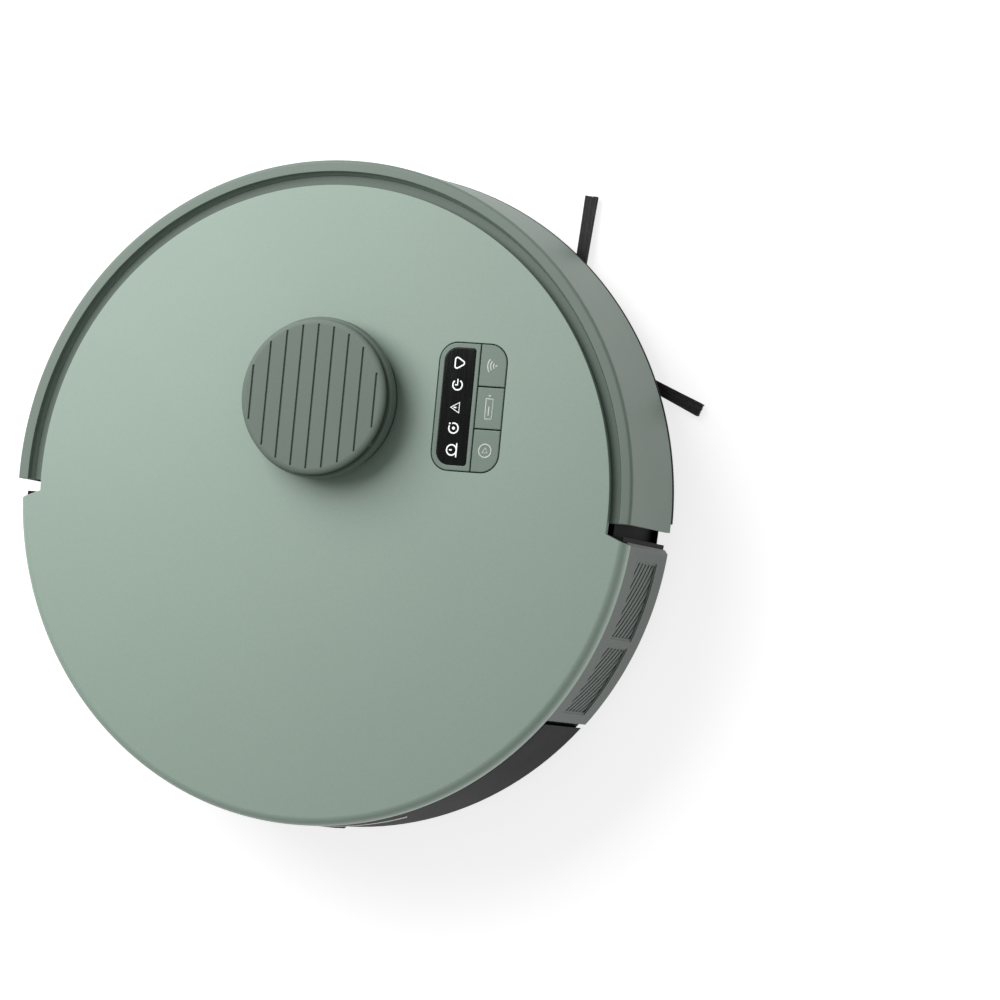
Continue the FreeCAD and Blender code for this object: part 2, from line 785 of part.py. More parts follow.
def make_laser_drive():
    """The plate that hangs below the turret, with the motor that turns the head by a belt."""
    motor_x = "-laser_motor_offset"
    foot = "laser_plate_bottom"
    top = "laser_plate_bottom + laser_plate_thick"
    face = belt_face(value("flange_radius"), value("laser_lobe"), value("laser_motor_offset"))
    slab = face.extrude(up * value("laser_plate_thick"))
    slab.translate(FreeCAD.Vector(0, value("turret_y"), value(foot)))
    floor = solid("laser_slab", slab)
    wall = turned("laser_ring_wall", [
        ("flange_radius - laser_wall", top), ("flange_radius", top),
        ("flange_radius", f"{cover_under} - flange_thick"),
        ("flange_radius - laser_wall", f"{cover_under} - flange_thick"),
    ], y="turret_y")
    body = fuse("laser_cup", floor, wall)
    bore = rod("laser_bore", "laser_shaft + running", "laser_plate_thick + 2",
               "0", "turret_y", f"{foot} - 1")
    motor_bore = rod("laser_motor_bore", "small_pulley - 1", "laser_plate_thick + 2",
                     motor_x, "turret_y", f"{foot} - 1")
    keep("laser_plate", cut("laser_plate_cut", body, bore, motor_bore))
    can = rod("laser_can", "laser_motor_radius", "laser_motor_tall", motor_x, "turret_y", top)
    can_bore = rod("laser_can_bore", "small_shaft + running", "laser_motor_tall - 1",
                   motor_x, "turret_y", top)
    keep("laser_motor", cut("laser_motor_cut", can, can_bore))
    wheel = turned("small_wheel", [
        ("0", "pulley_bottom"), ("small_pulley", "pulley_bottom"),
        ("small_pulley", "pulley_bottom + pulley_tall"), ("small_shaft", "pulley_bottom + pulley_tall"),
        ("small_shaft", f"{top} + laser_motor_tall - 2"), ("0", f"{top} + laser_motor_tall - 2"),
    ], x=motor_x, y="turret_y")
    keep("laser_motor_pulley", wheel)
    apart = value("laser_motor_offset")
    large, small = value("pulley_radius + belt_gap"), value("small_pulley + belt_gap")
    thick = value("belt_thick")
    loop = belt_face(large + thick, small + thick, apart).extrude(up * value("belt_tall"))
    loop = loop.cut(belt_face(large, small, apart).extrude(up * value("belt_tall")))
    belt_bottom = value("pulley_bottom + (pulley_tall - belt_tall) / 2")
    loop.translate(FreeCAD.Vector(0, value("turret_y"), belt_bottom))
    keep("laser_belt", solid("belt", loop))


def make_panel():
    """The control panel: tray, board, bezel, display lens and three push buttons."""
    split = "button_left"
    surface = "cover_top + bezel_proud"
    ledge = ("bezel_left + bezel_lip", "bezel_right - bezel_lip")
    ledge_y = ("bezel_rear + bezel_lip", "bezel_front - bezel_lip")
    outer = plate("tray_outer", ("bezel_left - tray_wall", "bezel_right + tray_wall"),
                  ("bezel_rear - tray_wall", "bezel_front + tray_wall"),
                  ("tray_bottom", cover_under), "bezel_round")
    hollow = plate("tray_hollow", ledge, ledge_y, ("tray_bottom + tray_floor", f"{cover_under} + 1"),
                   "bezel_round - bezel_lip")
    keep("panel_tray", cut("tray_cut", outer, hollow))

    def at_left(point):
        return point.x < value(split)

    def at_lens_left(point):
        return point.x < value("lens_right - lens_round")

    def at_front_end(point):
        return point.x > value("bezel_right - bezel_round") and point.y > value("bezel_front - bezel_round")

    def at_rear_end(point):
        return point.x > value("bezel_right - bezel_round") and point.y < value("bezel_rear + bezel_round")

    bezel = plate("bezel_plate", ("bezel_left", f"{split} - button_gap / 2"), ("bezel_rear", "bezel_front"),
                  (cover_under, surface), "bezel_round", at_left)
    lens_foot = f"{surface} - lens_thick + lens_proud"
    lens_hole = plate("lens_hole", ("lens_left - running", "lens_right + running"),
                      ("lens_rear - running", "lens_front + running"),
                      (lens_foot, f"{surface} + 1"), "lens_round", at_lens_left)
    keep("panel_bezel", cut("bezel_cut", bezel, lens_hole))
    lens = plate("lens", ("lens_left", "lens_right"), ("lens_rear", "lens_front"),
                 (lens_foot, f"{surface} + lens_proud"), "lens_round", at_lens_left)
    keep("display_lens", lens)
    base = "tray_bottom + tray_floor"
    board = block("panel_board_plate", (f"{ledge[0]} + 2 * bezel_gap", f"{ledge[1]} - 2 * bezel_gap"),
                  (f"{ledge_y[0]} + bezel_round / 2", f"{ledge_y[1]} - bezel_round / 2"),
                  (base, f"{base} + board_thick"))
    levels = [("button_split_front", "bezel_front"), ("button_split_rear", "button_split_front"),
              ("bezel_rear", "button_split_rear")]
    names = ("button_front", "button_middle", "button_rear")
    ends = (at_front_end, None, at_rear_end)
    switches = []
    for number, (name, (rear, front)) in enumerate(zip(names, levels)):
        low = rear if number == 2 else f"{rear} + button_gap / 2"
        high = front if number == 0 else f"{front} - button_gap / 2"
        key_foot = f"{cover_under} + button_lift"
        rounding = None if ends[number] is None else "bezel_round"
        key = plate(name + "_key", (f"{split} + button_gap / 2", "bezel_right"), (low, high),
                    (key_foot, surface), rounding, ends[number])
        middle_x = f"({split} + bezel_right) / 2"
        middle_y = f"({rear} + {front}) / 2"
        switch_top = f"{base} + board_thick + switch_tall"
        stem_foot = f"{switch_top} + button_travel + running * 2"
        stem = rod(name + "_stem", "stem_radius", f"{key_foot} - ({stem_foot})",
                   middle_x, middle_y, stem_foot)
        keep(name, fuse(name + "_fused", key, stem))
        across, along = (
            (f"{middle} - switch_wide / 2", f"{middle} + switch_wide / 2")
            for middle in (middle_x, middle_y)
        )
        switches.append(block(name + "_switch", across, along, (f"{base} + board_thick", switch_top)))
    keep("panel_board", fuse("panel_board_fused", board, *switches))


def make_main_brush():
    """The roller with its strips, the tunnel round it, the guard below and the drive at its left end."""
    core = turned("brush_core", [
        ("0", "-brush_half - journal_long"), ("journal_radius", "-brush_half - journal_long"),
        ("journal_radius", "-brush_half"), ("brush_core", "-brush_half"), ("brush_core", "brush_half"),
        ("journal_radius", "brush_half"), ("journal_radius", "housing_half - 1"), ("0", "housing_half - 1"),
    ], y="brush_y", z="brush_z", turn=along_x)
    keep("main_brush_roller", core)
    strips = []
    long = value("2 * brush_half - 2 * strip_inset")
    for number in range(4):
        strip = Part.makeBox(long, value("strip_thick"), value("brush_reach - brush_core"),
                             FreeCAD.Vector(-long / 2, -value("strip_thick") / 2, value("brush_core")))
        strip.rotate(FreeCAD.Vector(), FreeCAD.Vector(1, 0, 0), 45 + 90 * number)
        strips.append(strip.translate(FreeCAD.Vector(0, value("brush_y"), value("brush_z"))))
    keep("main_brush_strips", solid("strips", Part.makeCompound(strips)))
    mouth = ("bin_front + bay_gap + bay_wall + running", "brush_y")
    shell = block("housing_block", ("-housing_half", "housing_half"), (mouth[0], "housing_front"),
                  (floor_top, "housing_top"))
    tunnel = rod("housing_tunnel", "tunnel_radius", "2 * tunnel_half",
                 "-tunnel_half", "brush_y", "brush_z", along_x)
    below = block("housing_below", ("-tunnel_half", "tunnel_half"),
                  ("brush_y - tunnel_radius", "brush_y + tunnel_radius"), (f"{floor_top} - 1", "brush_z"))
    throat = block("housing_throat", ("-mouth_half", "mouth_half"), (f"{mouth[0]} - 1", mouth[1]),
                   ("mouth_bottom", "mouth_top"))
    journals = rod("housing_bore", "journal_radius + running", "2 * housing_half + 2",
                   "-housing_half - 1", "brush_y", "brush_z", along_x)
    keep("brush_housing", cut("housing_cut", shell, tunnel, below, throat, journals))
    guard_top = "base_bottom - guard_gap"
    guard = plate("guard_plate", ("-tunnel_half - guard_edge", "tunnel_half + guard_edge"),
                  ("brush_y - tunnel_radius - guard_edge", "brush_y + tunnel_radius + guard_edge"),
                  (f"{guard_top} - guard_thick", guard_top), "guard_edge")
    slot = block("guard_slot_cut", ("-tunnel_half", "tunnel_half"),
                 ("brush_y - guard_slot", "brush_y + guard_slot"), ("0", "base_bottom"))
    keep("brush_guard", cut("guard_cut", guard, slot))
    inner = "-housing_half - running"
    gear_case = block("gear_case", (f"{inner} - gearbox_wide", inner),
                      ("brush_y - gearbox_half", "brush_y + gearbox_half"), (floor_top, "gearbox_top"))
    gear_bore = rod("gear_bore", "journal_radius + running", "brush_half + journal_long + 1 - housing_half",
                    "-brush_half - journal_long - 1", "brush_y", "brush_z", along_x)
    can = rod("brush_can", "brush_motor_radius", "brush_motor_long",
              f"{inner} - gearbox_wide - brush_motor_long", "brush_y", "brush_motor_z", along_x)
    keep("brush_gear_motor", fuse("gear_motor", cut("gear_cut", gear_case, gear_bore), can))


def make_blower():
    """The suction fan behind the right panel, with its motor and the duct from the filter."""
    low = floor_top
    case = rod("blower_case", "blower_radius", f"blower_top - ({low})", "blower_x", "blower_y", low)
    hollow = rod("blower_hollow", "blower_radius - blower_wall", f"blower_top - ({low}) - 2 * blower_wall",
                 "blower_x", "blower_y", f"{low} + blower_wall")
    inlet = block("blower_inlet", ("blower_x - blower_radius - 1", "blower_x - blower_radius + inlet_half"),
                  ("blower_y - inlet_half", "blower_y + inlet_half"), ("port_bottom", "port_top"))
    outlet = block("blower_outlet", ("blower_x + outlet_inner", "blower_x + blower_radius + 1"),
                   ("blower_y - outlet_rear", "blower_y + outlet_front"), ("port_bottom", "port_top"))
    blower = cut("blower_cut", case, hollow, inlet, outlet)
    wheel_top = "impeller_bottom + impeller_tall"
    motor_foot = "blower_top - blower_wall - blower_motor_tall"
    fan = turned("fan", [
        ("0", "impeller_bottom"), ("impeller_radius", "impeller_bottom"), ("impeller_radius", wheel_top),
        ("blower_shaft", wheel_top), ("blower_shaft", f"{motor_foot} + shaft_grip"),
        ("0", f"{motor_foot} + shaft_grip"),
    ], x="blower_x", y="blower_y")
    keep("impeller", fan)
    can = rod("blower_can", "blower_motor_radius", "blower_motor_tall", "blower_x", "blower_y", motor_foot)
    bore = rod("blower_can_bore", "blower_shaft + running", "shaft_grip + 1",
               "blower_x", "blower_y", motor_foot)
    keep("blower_motor", cut("blower_motor_cut", can, bore))
    rear = "bin_front + bay_gap + bay_wall + running"
    duct_right = "blower_x - blower_radius + blower_wall"
    duct = block("duct_outer", ("duct_left", duct_right), (rear, "duct_front"),
                 ("duct_bottom", "blower_top"))
    air = block("duct_air", ("duct_left + duct_wall", f"{duct_right} - duct_wall"),
                (f"{rear} - 1", "duct_front - duct_wall"),
                ("duct_bottom + duct_wall", "blower_top - duct_wall"))
    out = block("duct_out", (f"{duct_right} - duct_wall - 1", f"{duct_right} + 1"),
                ("blower_y - inlet_half", "blower_y + inlet_half"), ("port_bottom", "port_top"))
    keep("blower_housing", cut("blower_and_duct", fuse("blower_body", blower, duct), air, out))


def make_drive(side, hand):
    """One sprung drive module: swing arm with gears inside, motor, wheel hub and tyre."""
    def span(inner, outer):
        return (inner, outer) if side > 0 else (f"-({outer})", f"-({inner})")

    def spindle(name, radius, ends, y, z):
        low, high = span(*ends)
        return rod(f"{hand}_{name}", radius, f"({high}) - ({low})", low, y, z, along_x)

    rise = FreeCAD.Vector(0, value("pivot_y"), value("pivot_z - wheel_radius"))
    side_face = belt_face(value("arm_wheel_radius"), value("arm_pivot_radius"), rise.Length)
    shape = side_face.extrude(up * value("arm_outer - arm_inner"))
    facing = FreeCAD.Rotation(rise.normalize() * -1, up, FreeCAD.Vector(1, 0, 0), "ZXY")
    hub_end = FreeCAD.Vector(value("arm_inner"), 0, value("wheel_radius"))
    shape.Placement = FreeCAD.Placement(hub_end, facing)
    arm = solid(f"{hand}_arm", shape if side > 0 else mirrored(shape))
    pivot_bore = spindle("pivot_bore", "pivot_radius + running", ("arm_inner - 1", "arm_outer + 1"),
                         "pivot_y", "pivot_z")
    shaft_end = "arm_outer - hub_shaft_long"
    axle_bore = spindle("axle_bore", "hub_shaft + running", (f"{shaft_end} - running", "arm_outer + 1"),
                        "0", "wheel_radius")
    keep(f"drive_arm_{hand}", cut(f"{hand}_arm_cut", arm, pivot_bore, axle_bore))
    motor = spindle("motor", "drive_motor_radius", ("arm_inner - drive_motor_long", "arm_inner"),
                    "drive_motor_y", "drive_motor_z")
    keep(f"drive_motor_{hand}", motor)
    disc = spindle("hub_disc", "hub_radius", ("wheel_x - hub_wide / 2", "wheel_x + hub_wide / 2"),
                   "0", "wheel_radius")
    dish = spindle("hub_dish", "hub_radius - 4", ("wheel_x", "wheel_x + hub_wide / 2 + 1"),
                   "0", "wheel_radius")
    boss = spindle("hub_boss", "hub_shaft * 2.5", ("wheel_x - 1", "wheel_x + hub_wide / 2"),
                   "0", "wheel_radius")
    shaft = spindle("hub_shaft", "hub_shaft", (shaft_end, "wheel_x"), "0", "wheel_radius")
    dished = cut(f"{hand}_hub_dished", disc, dish)
    keep(f"wheel_hub_{hand}", fuse(f"{hand}_hub", dished, boss, shaft))
    band = spindle("tyre_band", "wheel_radius", ("wheel_x - wheel_wide / 2", "wheel_x + wheel_wide / 2"),
                   "0", "wheel_radius")
    inside = spindle("tyre_inside", "hub_radius", ("wheel_x - wheel_wide", "wheel_x + wheel_wide"),
                     "0", "wheel_radius")
    keep(f"tyre_{hand}", cut(f"{hand}_tyre_cut", band, inside))
    pin = spindle("pivot_pin", "pivot_radius", ("lug_inner", "lug_outer + lug_thick"), "pivot_y", "pivot_z")
    spring = coil(value("torsion_radius"), value("torsion_wire"), value("torsion_pitch"),
                  value("torsion_turns"))
    spring_start = value("lug_inner + lug_thick + torsion_wire")
    spring.Placement = FreeCAD.Placement(
        FreeCAD.Vector(spring_start, value("pivot_y"), value("pivot_z")), along_x)
    return pin, (spring if side > 0 else mirrored(spring))


def make_drives():
    right_pin, right_spring = make_drive(1, "right")
    left_pin, left_spring = make_drive(-1, "left")
    keep("drive_pivot_pins", group("pivot_pins", right_pin, left_pin))
    keep("drive_springs", solid("torsion_springs", Part.makeCompound([right_spring, left_spring])))


def group(name, *parts):
    """Separate identical solids in one sub-part."""
    thing = doc.addObject("Part::Compound", name)
    thing.Links = list(parts)
    return thing


def make_caster():
    """The swivelling front wheel in its fork."""
    wheel_y = "caster_y - caster_trail"
    body = turned("fork_body", [
        ("0", "fork_bottom"), ("fork_radius", "fork_bottom"), ("fork_radius", "fork_top"),
        ("stem_shaft", "fork_top"), ("stem_shaft", "stem_top"), ("0", "stem_top"),
    ], y="caster_y")
    slot = block("fork_slot", ("-fork_slot_half", "fork_slot_half"),
                 (f"{wheel_y} - fork_slot_reach", f"{wheel_y} + fork_slot_reach"),
                 ("0", "fork_slot_top"))
    bore = rod("fork_bore", "caster_axle + running", "2 * fork_radius + 2", "-fork_radius - 1",
               wheel_y, "caster_radius", along_x)
    keep("caster_fork", cut("fork_cut", body, slot, bore))
    keep("caster_axle", rod("caster_pin", "caster_axle", "2 * caster_axle_half", "-caster_axle_half",
                            wheel_y, "caster_radius", along_x))
    half = "caster_wide / 2"
    wheel = turned("caster_roll", [
        ("caster_axle + running", f"-{half}"), ("caster_radius - 1", f"-{half}"),
        ("caster_radius", f"-{half} + 1"), ("caster_radius", f"{half} - 1"),
        ("caster_radius - 1", half), ("caster_axle + running", half),
    ], y=wheel_y, z="caster_radius", turn=along_x)
    keep("caster_wheel", wheel)


def make_side_brush():
    """The three-armed brush at the front right, its screw and its gear motor."""
    hub = turned("side_hub", [
        ("0", "side_hub_bottom"), ("side_hub_radius - 1", "side_hub_bottom"),
        ("side_hub_radius", "side_hub_bottom + 1"), ("side_hub_radius", "side_hub_top"),
        ("side_shaft", "side_hub_top"), ("side_shaft", "side_shaft_top"), ("0", "side_shaft_top"),
    ], x="side_x", y="side_y")
    keep("side_brush_hub", hub)
    keep("side_brush_screw", rod("side_screw", "side_screw_radius", "side_screw_tall", "side_x", "side_y",
                                 "side_hub_bottom - side_screw_tall"))
    root, tip = value("side_hub_radius") - 0.6, value("bristle_reach")
    arms = []
    for bearing in ("bristle_ahead", "bristle_aside", "bristle_inward"):
        sections = []
        for reach, wide, low in ((root, value("bristle_root_wide"), value("bristle_root_z")),
                                 (tip, value("bristle_tip_wide"), value("bristle_tip_z"))):
            high = low + value("bristle_thick")
            corners = [FreeCAD.Vector(reach, y, z) for y, z in (
                (-wide / 2, low), (wide / 2, low), (wide / 2, high), (-wide / 2, high), (-wide / 2, low))]
            sections.append(Part.makePolygon(corners))
        arm = Part.makeLoft(sections, True, True)
        arm = arm.cut(Part.makeCylinder(value("side_hub_radius"), value("cover_top")))
        arm.rotate(FreeCAD.Vector(), up, value(bearing))
        arm.translate(FreeCAD.Vector(value("side_x"), value("side_y"), 0))
        arms.append(arm)
    keep("side_brush_bristles", solid("side_bristles", Part.makeCompound(arms)))
    middle = ("side_x - side_gear_in", "side_y - side_gear_in")
    case = block("side_gear_case", (f"{middle[0]} - side_gear_half", f"{middle[0]} + side_gear_half"),
                 (f"{middle[1]} - side_gear_half", f"{middle[1]} + side_gear_half"),
                 (floor_top, "side_gear_top"))
    bore = rod("side_gear_bore", "side_shaft + running", f"side_shaft_top + 1 - ({floor_top})",
               "side_x", "side_y", floor_top)
    keep("side_brush_gearbox", cut("side_gear_cut", case, bore))


def make_inner_fittings():
    """Battery and its door, main board, bumper springs and switches."""
    keep("battery_pack", plate("battery", ("-battery_half", "battery_half"),
                               ("battery_rear", "battery_front"),
                               (floor_top, "battery_top"), "battery_round"))
    keep("battery_door", plate("door", ("-battery_half + door_inset", "battery_half - door_inset"),
                               ("battery_rear + door_inset", "battery_front - door_inset"),
                               ("base_bottom", f"{floor_top} - running"), "battery_round"))
    board = block("main_board_plate", ("-main_board_half", "main_board_half"),
                  ("main_board_rear", "main_board_front"), ("main_board_z", "main_board_z + board_thick"))
    chip_foot = "main_board_z + board_thick"
    chips = [
        block(f"chip_{number}", (f"{x} - {half}", f"{x} + {half}"), (f"{y} - {half}", f"{y} + {half}"),
              (chip_foot, f"{chip_foot} + {tall}"))
        for number, (x, y, half, tall) in enumerate(board_chips)
    ]
    keep("main_board", fuse("main_board_fused", board, *chips))
    wire = value("bumper_spring_wire + running")
    spring_x = value("bumper_spring_x")
    start = value(spring_pad) + wire
    inner = value("(bumper_top_radius + bumper_foot_radius) / 2 - bumper_wall")
    end = math.sqrt(inner ** 2 - (spring_x + value("bumper_spring_radius") + wire) ** 2) - wire
    turns = value("bumper_spring_turns")
    spring = coil(value("bumper_spring_radius"), value("bumper_spring_wire"), (end - start) / turns, turns)
    spring.Placement = FreeCAD.Placement(FreeCAD.Vector(spring_x, start, value("bumper_spring_z")), along_y)
    keep("bumper_springs", solid("springs", Part.makeCompound([spring, mirrored(spring)])))
    half_sweep = math.degrees(value("switch_long") / 2 / value("front_wall_radius"))
    switches = [
        sector("front_wall_radius + switch_reach", "front_wall_radius", "switch_bottom", "switch_top",
               angle - half_sweep, angle + half_sweep)
        for angle in (value("switch_angle"), 180 - value("switch_angle"))
    ]
    keep("bumper_switches", solid("switches", Part.makeCompound(switches)))


# Each chip on the main board: its centre across and along, half its width, and its height.
board_chips = [(-24, -10, 8, 1.4), (18, 8, 6, 1.4), (30, -22, 5, 3), (-30, 22, 4, 2)]
screw_places = [
    (f"{sign}boss_{where}_x", f"boss_{where}_y")
    for sign in ("", "-")
    for where in ("rear", "side", "front")
]


def make_underside_fittings():
    """Case screws, charge contacts and the windows of the drop sensors."""
    screws = []
    for number, (x, y) in enumerate(screw_places):
        head_foot = "base_bottom + 0.2"
        head = rod(f"screw_head_{number}", "screw_head", "screw_head_tall", x, y, head_foot)
        shank = rod(f"screw_shank_{number}", "screw_radius", "screw_long", x, y, head_foot)
        screws.append(fuse(f"screw_{number}", head, shank))
    keep("case_screws", group("screws", *screws))
    contacts = [
        block(f"contact_{sign or 'p'}",
              (f"{sign}contact_x - contact_half", f"{sign}contact_x + contact_half"),
              ("contact_y - contact_half", "contact_y + contact_half"),
              ("base_bottom - contact_proud", "base_bottom + contact_deep"))
        for sign in ("", "-")
    ]
    keep("charge_contacts", group("contacts", *contacts))
    windows = cliff_set("base_bottom + cliff_deep - cliff_thick", 0)
    keep("cliff_windows", solid("cliffs", Part.makeCompound(windows)))


def cliff_set(bottom, grow):
    """The four sensor windows, or with some growth the recesses that they sit in."""
    windows = []
    angle = value("cliff_angle")
    for turn in (angle, 90 - angle, 90 + angle, 180 - angle):
        wide, long = value("cliff_wide") + grow, value("cliff_long") + grow
        window = Part.makeBox(wide, long, value("base_bottom + cliff_deep") - value(bottom),
                              FreeCAD.Vector(value("cliff_circle") - wide / 2, -long / 2, value(bottom)))
        window.rotate(FreeCAD.Vector(), up, turn)
        windows.append(window)
    return windows


def both_sides(name, inner, outer, y, z):
    """The same box on the right and on the left."""
    return [block(name + "_right", (inner, outer), y, z),
            block(name + "_left", (f"-({outer})", f"-({inner})"), y, z)]


def make_chassis():
    """The base: floor, walls, wheel wells, dustbin bay, caster cup, bosses and posts."""
    rear_disc = turned("floor_rear", [
        ("0", "base_bottom"), ("floor_rear_radius - floor_chamfer", "base_bottom"),
        ("floor_rear_radius", "base_bottom + floor_chamfer"),
        ("floor_rear_radius", floor_top), ("0", floor_top),
    ])
    front_disc = turned("floor_front", [
        ("0", "base_bottom"), ("floor_front_radius - floor_chamfer", "base_bottom"),
        ("floor_front_radius", "base_bottom + floor_chamfer"),
        ("floor_front_radius", floor_top), ("0", floor_top),
    ])
    notch_front = "notch_y - notch_wall_gap"
    far = "cover_radius + 10"
    ahead = block("floor_ahead", (f"-({far})", far), (notch_front, far), ("0", "cover_top"))
    floor = fuse("floor", cut("floor_rear_half", rear_disc, ahead), front_disc)
    front_ring = turned("front_wall_ring", [
        ("front_wall_radius - wall_thick", floor_top), ("front_wall_radius", floor_top),
        ("front_wall_radius", "front_wall_top"), ("front_wall_radius - wall_thick", "front_wall_top"),
    ])
    behind = block("front_wall_behind", (f"-({far})", far), (f"-({far})", f"{notch_front} - wall_thick"),
                   ("0", "cover_top"))
    front_wall = cut("front_wall", front_ring, behind)
    notch_walls = both_sides("notch_wall", "front_wall_radius - wall_thick", "floor_rear_radius - 0.6",
                             (f"{notch_front} - wall_thick", notch_front), (floor_top, cover_under))
    side = sector("floor_rear_radius", "floor_rear_radius - wall_thick", floor_top, cover_under,
                  value("panel_rear") - 0.5, value("side_wall_start"))
    side = side.cut(sector("floor_rear_radius + 1", "floor_rear_radius - wall_thick - 1", "window_bottom",
                           "window_top", value("window_rear"), value("window_front")))
    side_walls = [solid("side_wall_right", side), solid("side_wall_left", mirrored(side))]
    bay_outer = upright(bin_plan(value("bay_gap + bay_wall")), floor_top, cover_under)
    bay = bay_outer.cut(upright(bin_plan(value("bay_gap")), floor_top, cover_under))
    rim = Part.makeCylinder(value("floor_rear_radius"), value("cover_top"))
    bay = bay.common(rim)
    bay_wall = solid("bay_wall", bay)
    bay_mouth = block("bay_mouth", ("-mouth_half", "mouth_half"), ("bin_front - 1", "bin_front + 10"),
                      ("mouth_bottom", "mouth_top"))
    bay_port = block("bay_port", ("port_left", "port_right"), ("bin_front - 1", "bin_front + 10"),
                     ("port_bottom", "port_top"))
    bay_open = cut("bay_open", bay_wall, bay_mouth, bay_port)
    rims = both_sides("well_rim", "well_inner - rim_thick", "well_outer + rim_thick",
                      ("well_rear - rim_thick", "well_front + rim_thick"), ("base_bottom", "rim_top"))
    wells = both_sides("well_hole", "well_inner", "well_outer",
                       ("well_rear", "well_front"), ("0", "rim_top + 1"))
    lugs = []
    for start in ("lug_inner", "lug_outer"):
        lugs += both_sides(start, start, f"{start} + lug_thick",
                           ("pivot_y - lug_half", "well_front + rim_thick"),
                           ("base_bottom", "pivot_z + lug_half + lug_above"))
    cup = turned("caster_cup", [
        ("fork_radius + fork_gap", "base_bottom"), ("fork_radius + fork_gap + cup_wall", "base_bottom"),
        ("fork_radius + fork_gap + cup_wall", "cup_roof + cup_wall"), ("cup_boss", "cup_roof + cup_wall"),
        ("cup_boss", "stem_top + 2"), ("stem_shaft + running", "stem_top + 2"),
        ("stem_shaft + running", "cup_roof"), ("fork_radius + fork_gap", "cup_roof"),
    ], y="caster_y")
    posts = [
        rod(f"board_post_{number}", "board_post", f"main_board_z - ({floor_top})", x, y, floor_top)
        for number, (x, y) in enumerate(
            (x, y)
            for x in ("main_board_half - board_post_inset", "-main_board_half + board_post_inset")
            for y in ("main_board_rear + board_post_inset", "main_board_front - board_post_inset"))
    ]
    bosses = [
        rod(f"boss_{number}", "boss_radius", f"{cover_under} - base_bottom", x, y, "base_bottom")
        for number, (x, y) in enumerate(screw_places)
    ]
    screw_holes = [
        fuse(f"screw_hole_{number}",
             rod(f"screw_bore_{number}", "screw_radius + running", "screw_long + 2", x, y, "base_bottom"),
             rod(f"screw_sink_{number}", "screw_head + 0.2", "screw_recess + 1", x, y, "base_bottom - 1"))
        for number, (x, y) in enumerate(screw_places)
    ]
    brush_window = block("brush_window", ("-tunnel_half", "tunnel_half"),
                         ("brush_y - tunnel_radius", "brush_y + tunnel_radius"),
                         ("0", f"{floor_top} + 0.5"))
    door_hole = plate("door_hole",
                      ("-battery_half + door_inset - door_gap", "battery_half - door_inset + door_gap"),
                      ("battery_rear + door_inset - door_gap", "battery_front - door_inset + door_gap"),
                      ("base_bottom - 1", f"{floor_top} + 1"), "battery_round")
    side_hole = rod("side_hole", "side_shaft + 1.5", "floor_thick + 2",
                    "side_x", "side_y", "base_bottom - 1")
    cup_hole = rod("cup_hole", "fork_radius + fork_gap", "floor_thick + 2",
                   "0", "caster_y", "base_bottom - 1")
    contact_holes = both_sides("contact_hole", "contact_x - contact_half", "contact_x + contact_half",
                               ("contact_y - contact_half", "contact_y + contact_half"),
                               ("0", "base_bottom + contact_deep"))
    cliff_holes = solid("cliff_holes", Part.makeCompound(cliff_set("base_bottom - 1", 0.1)))
    pivot_holes = [
        rod(f"lug_bore_{start}{number}", "pivot_radius", "lug_outer + lug_thick - lug_inner",
            start, "pivot_y", "pivot_z", along_x)
        for number, start in enumerate(("lug_inner", "-lug_outer - lug_thick"))
    ]
    pad_root = "front_wall_radius - wall_thick - spring_pad_radius"
    pads = [
        rod(f"spring_pad_{number}", "spring_pad_radius", f"{spring_pad} - ({pad_root})", x, pad_root,
            "bumper_spring_z", along_y)
        for number, x in enumerate(("bumper_spring_x", "-bumper_spring_x"))
    ]
    openings = [*wells, brush_window, door_hole, side_hole, cup_hole, *contact_holes, cliff_holes]
    plain = cut("floor_cut", fuse("floor_rims", floor, *rims), *openings)
    raised = [front_wall, *notch_walls, *side_walls, bay_open, *lugs, cup, *posts, *bosses, *pads]
    whole = fuse("chassis_walls", plain, *raised)
    keep("chassis_base", cut("chassis", whole, *pivot_holes, *screw_holes))


make_cover()
make_bumper()
make_side_panels()
make_dustbin()
make_turret()
make_laser_drive()
make_panel()
make_main_brush()
make_blower()
make_drives()
make_caster()
make_side_brush()
make_inner_fittings()
make_underside_fittings()
make_chassis()

doc.recompute()
for thing in doc.Objects:
    if "Invalid" in thing.State or "Error" in thing.State:
        raise RuntimeError(f"{thing.Label} did not compute")
for name, thing in nodes.items():
    if thing.Shape.isNull() or not thing.Shape.isValid():
        raise RuntimeError(f"{name} has no valid shape")
for name, thing in nodes.items():
    thing.Shape.exportStep(f"parts/{name}.step")
print(len(nodes), "sub-parts")
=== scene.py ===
import json
import math
import random

import bpy
from mathutils import Matrix, Vector


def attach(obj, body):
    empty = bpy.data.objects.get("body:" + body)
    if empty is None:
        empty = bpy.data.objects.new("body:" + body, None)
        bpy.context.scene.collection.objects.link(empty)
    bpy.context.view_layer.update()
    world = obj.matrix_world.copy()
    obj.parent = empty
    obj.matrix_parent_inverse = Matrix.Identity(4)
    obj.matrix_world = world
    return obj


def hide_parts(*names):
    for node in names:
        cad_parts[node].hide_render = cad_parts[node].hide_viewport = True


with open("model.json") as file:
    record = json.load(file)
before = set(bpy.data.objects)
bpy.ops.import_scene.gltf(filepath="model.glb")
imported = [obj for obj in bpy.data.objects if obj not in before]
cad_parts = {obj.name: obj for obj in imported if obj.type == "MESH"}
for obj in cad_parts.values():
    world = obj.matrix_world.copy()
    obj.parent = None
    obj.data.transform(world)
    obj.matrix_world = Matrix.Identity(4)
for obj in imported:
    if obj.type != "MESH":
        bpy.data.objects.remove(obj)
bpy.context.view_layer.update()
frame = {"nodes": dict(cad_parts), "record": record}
mm = 0.001
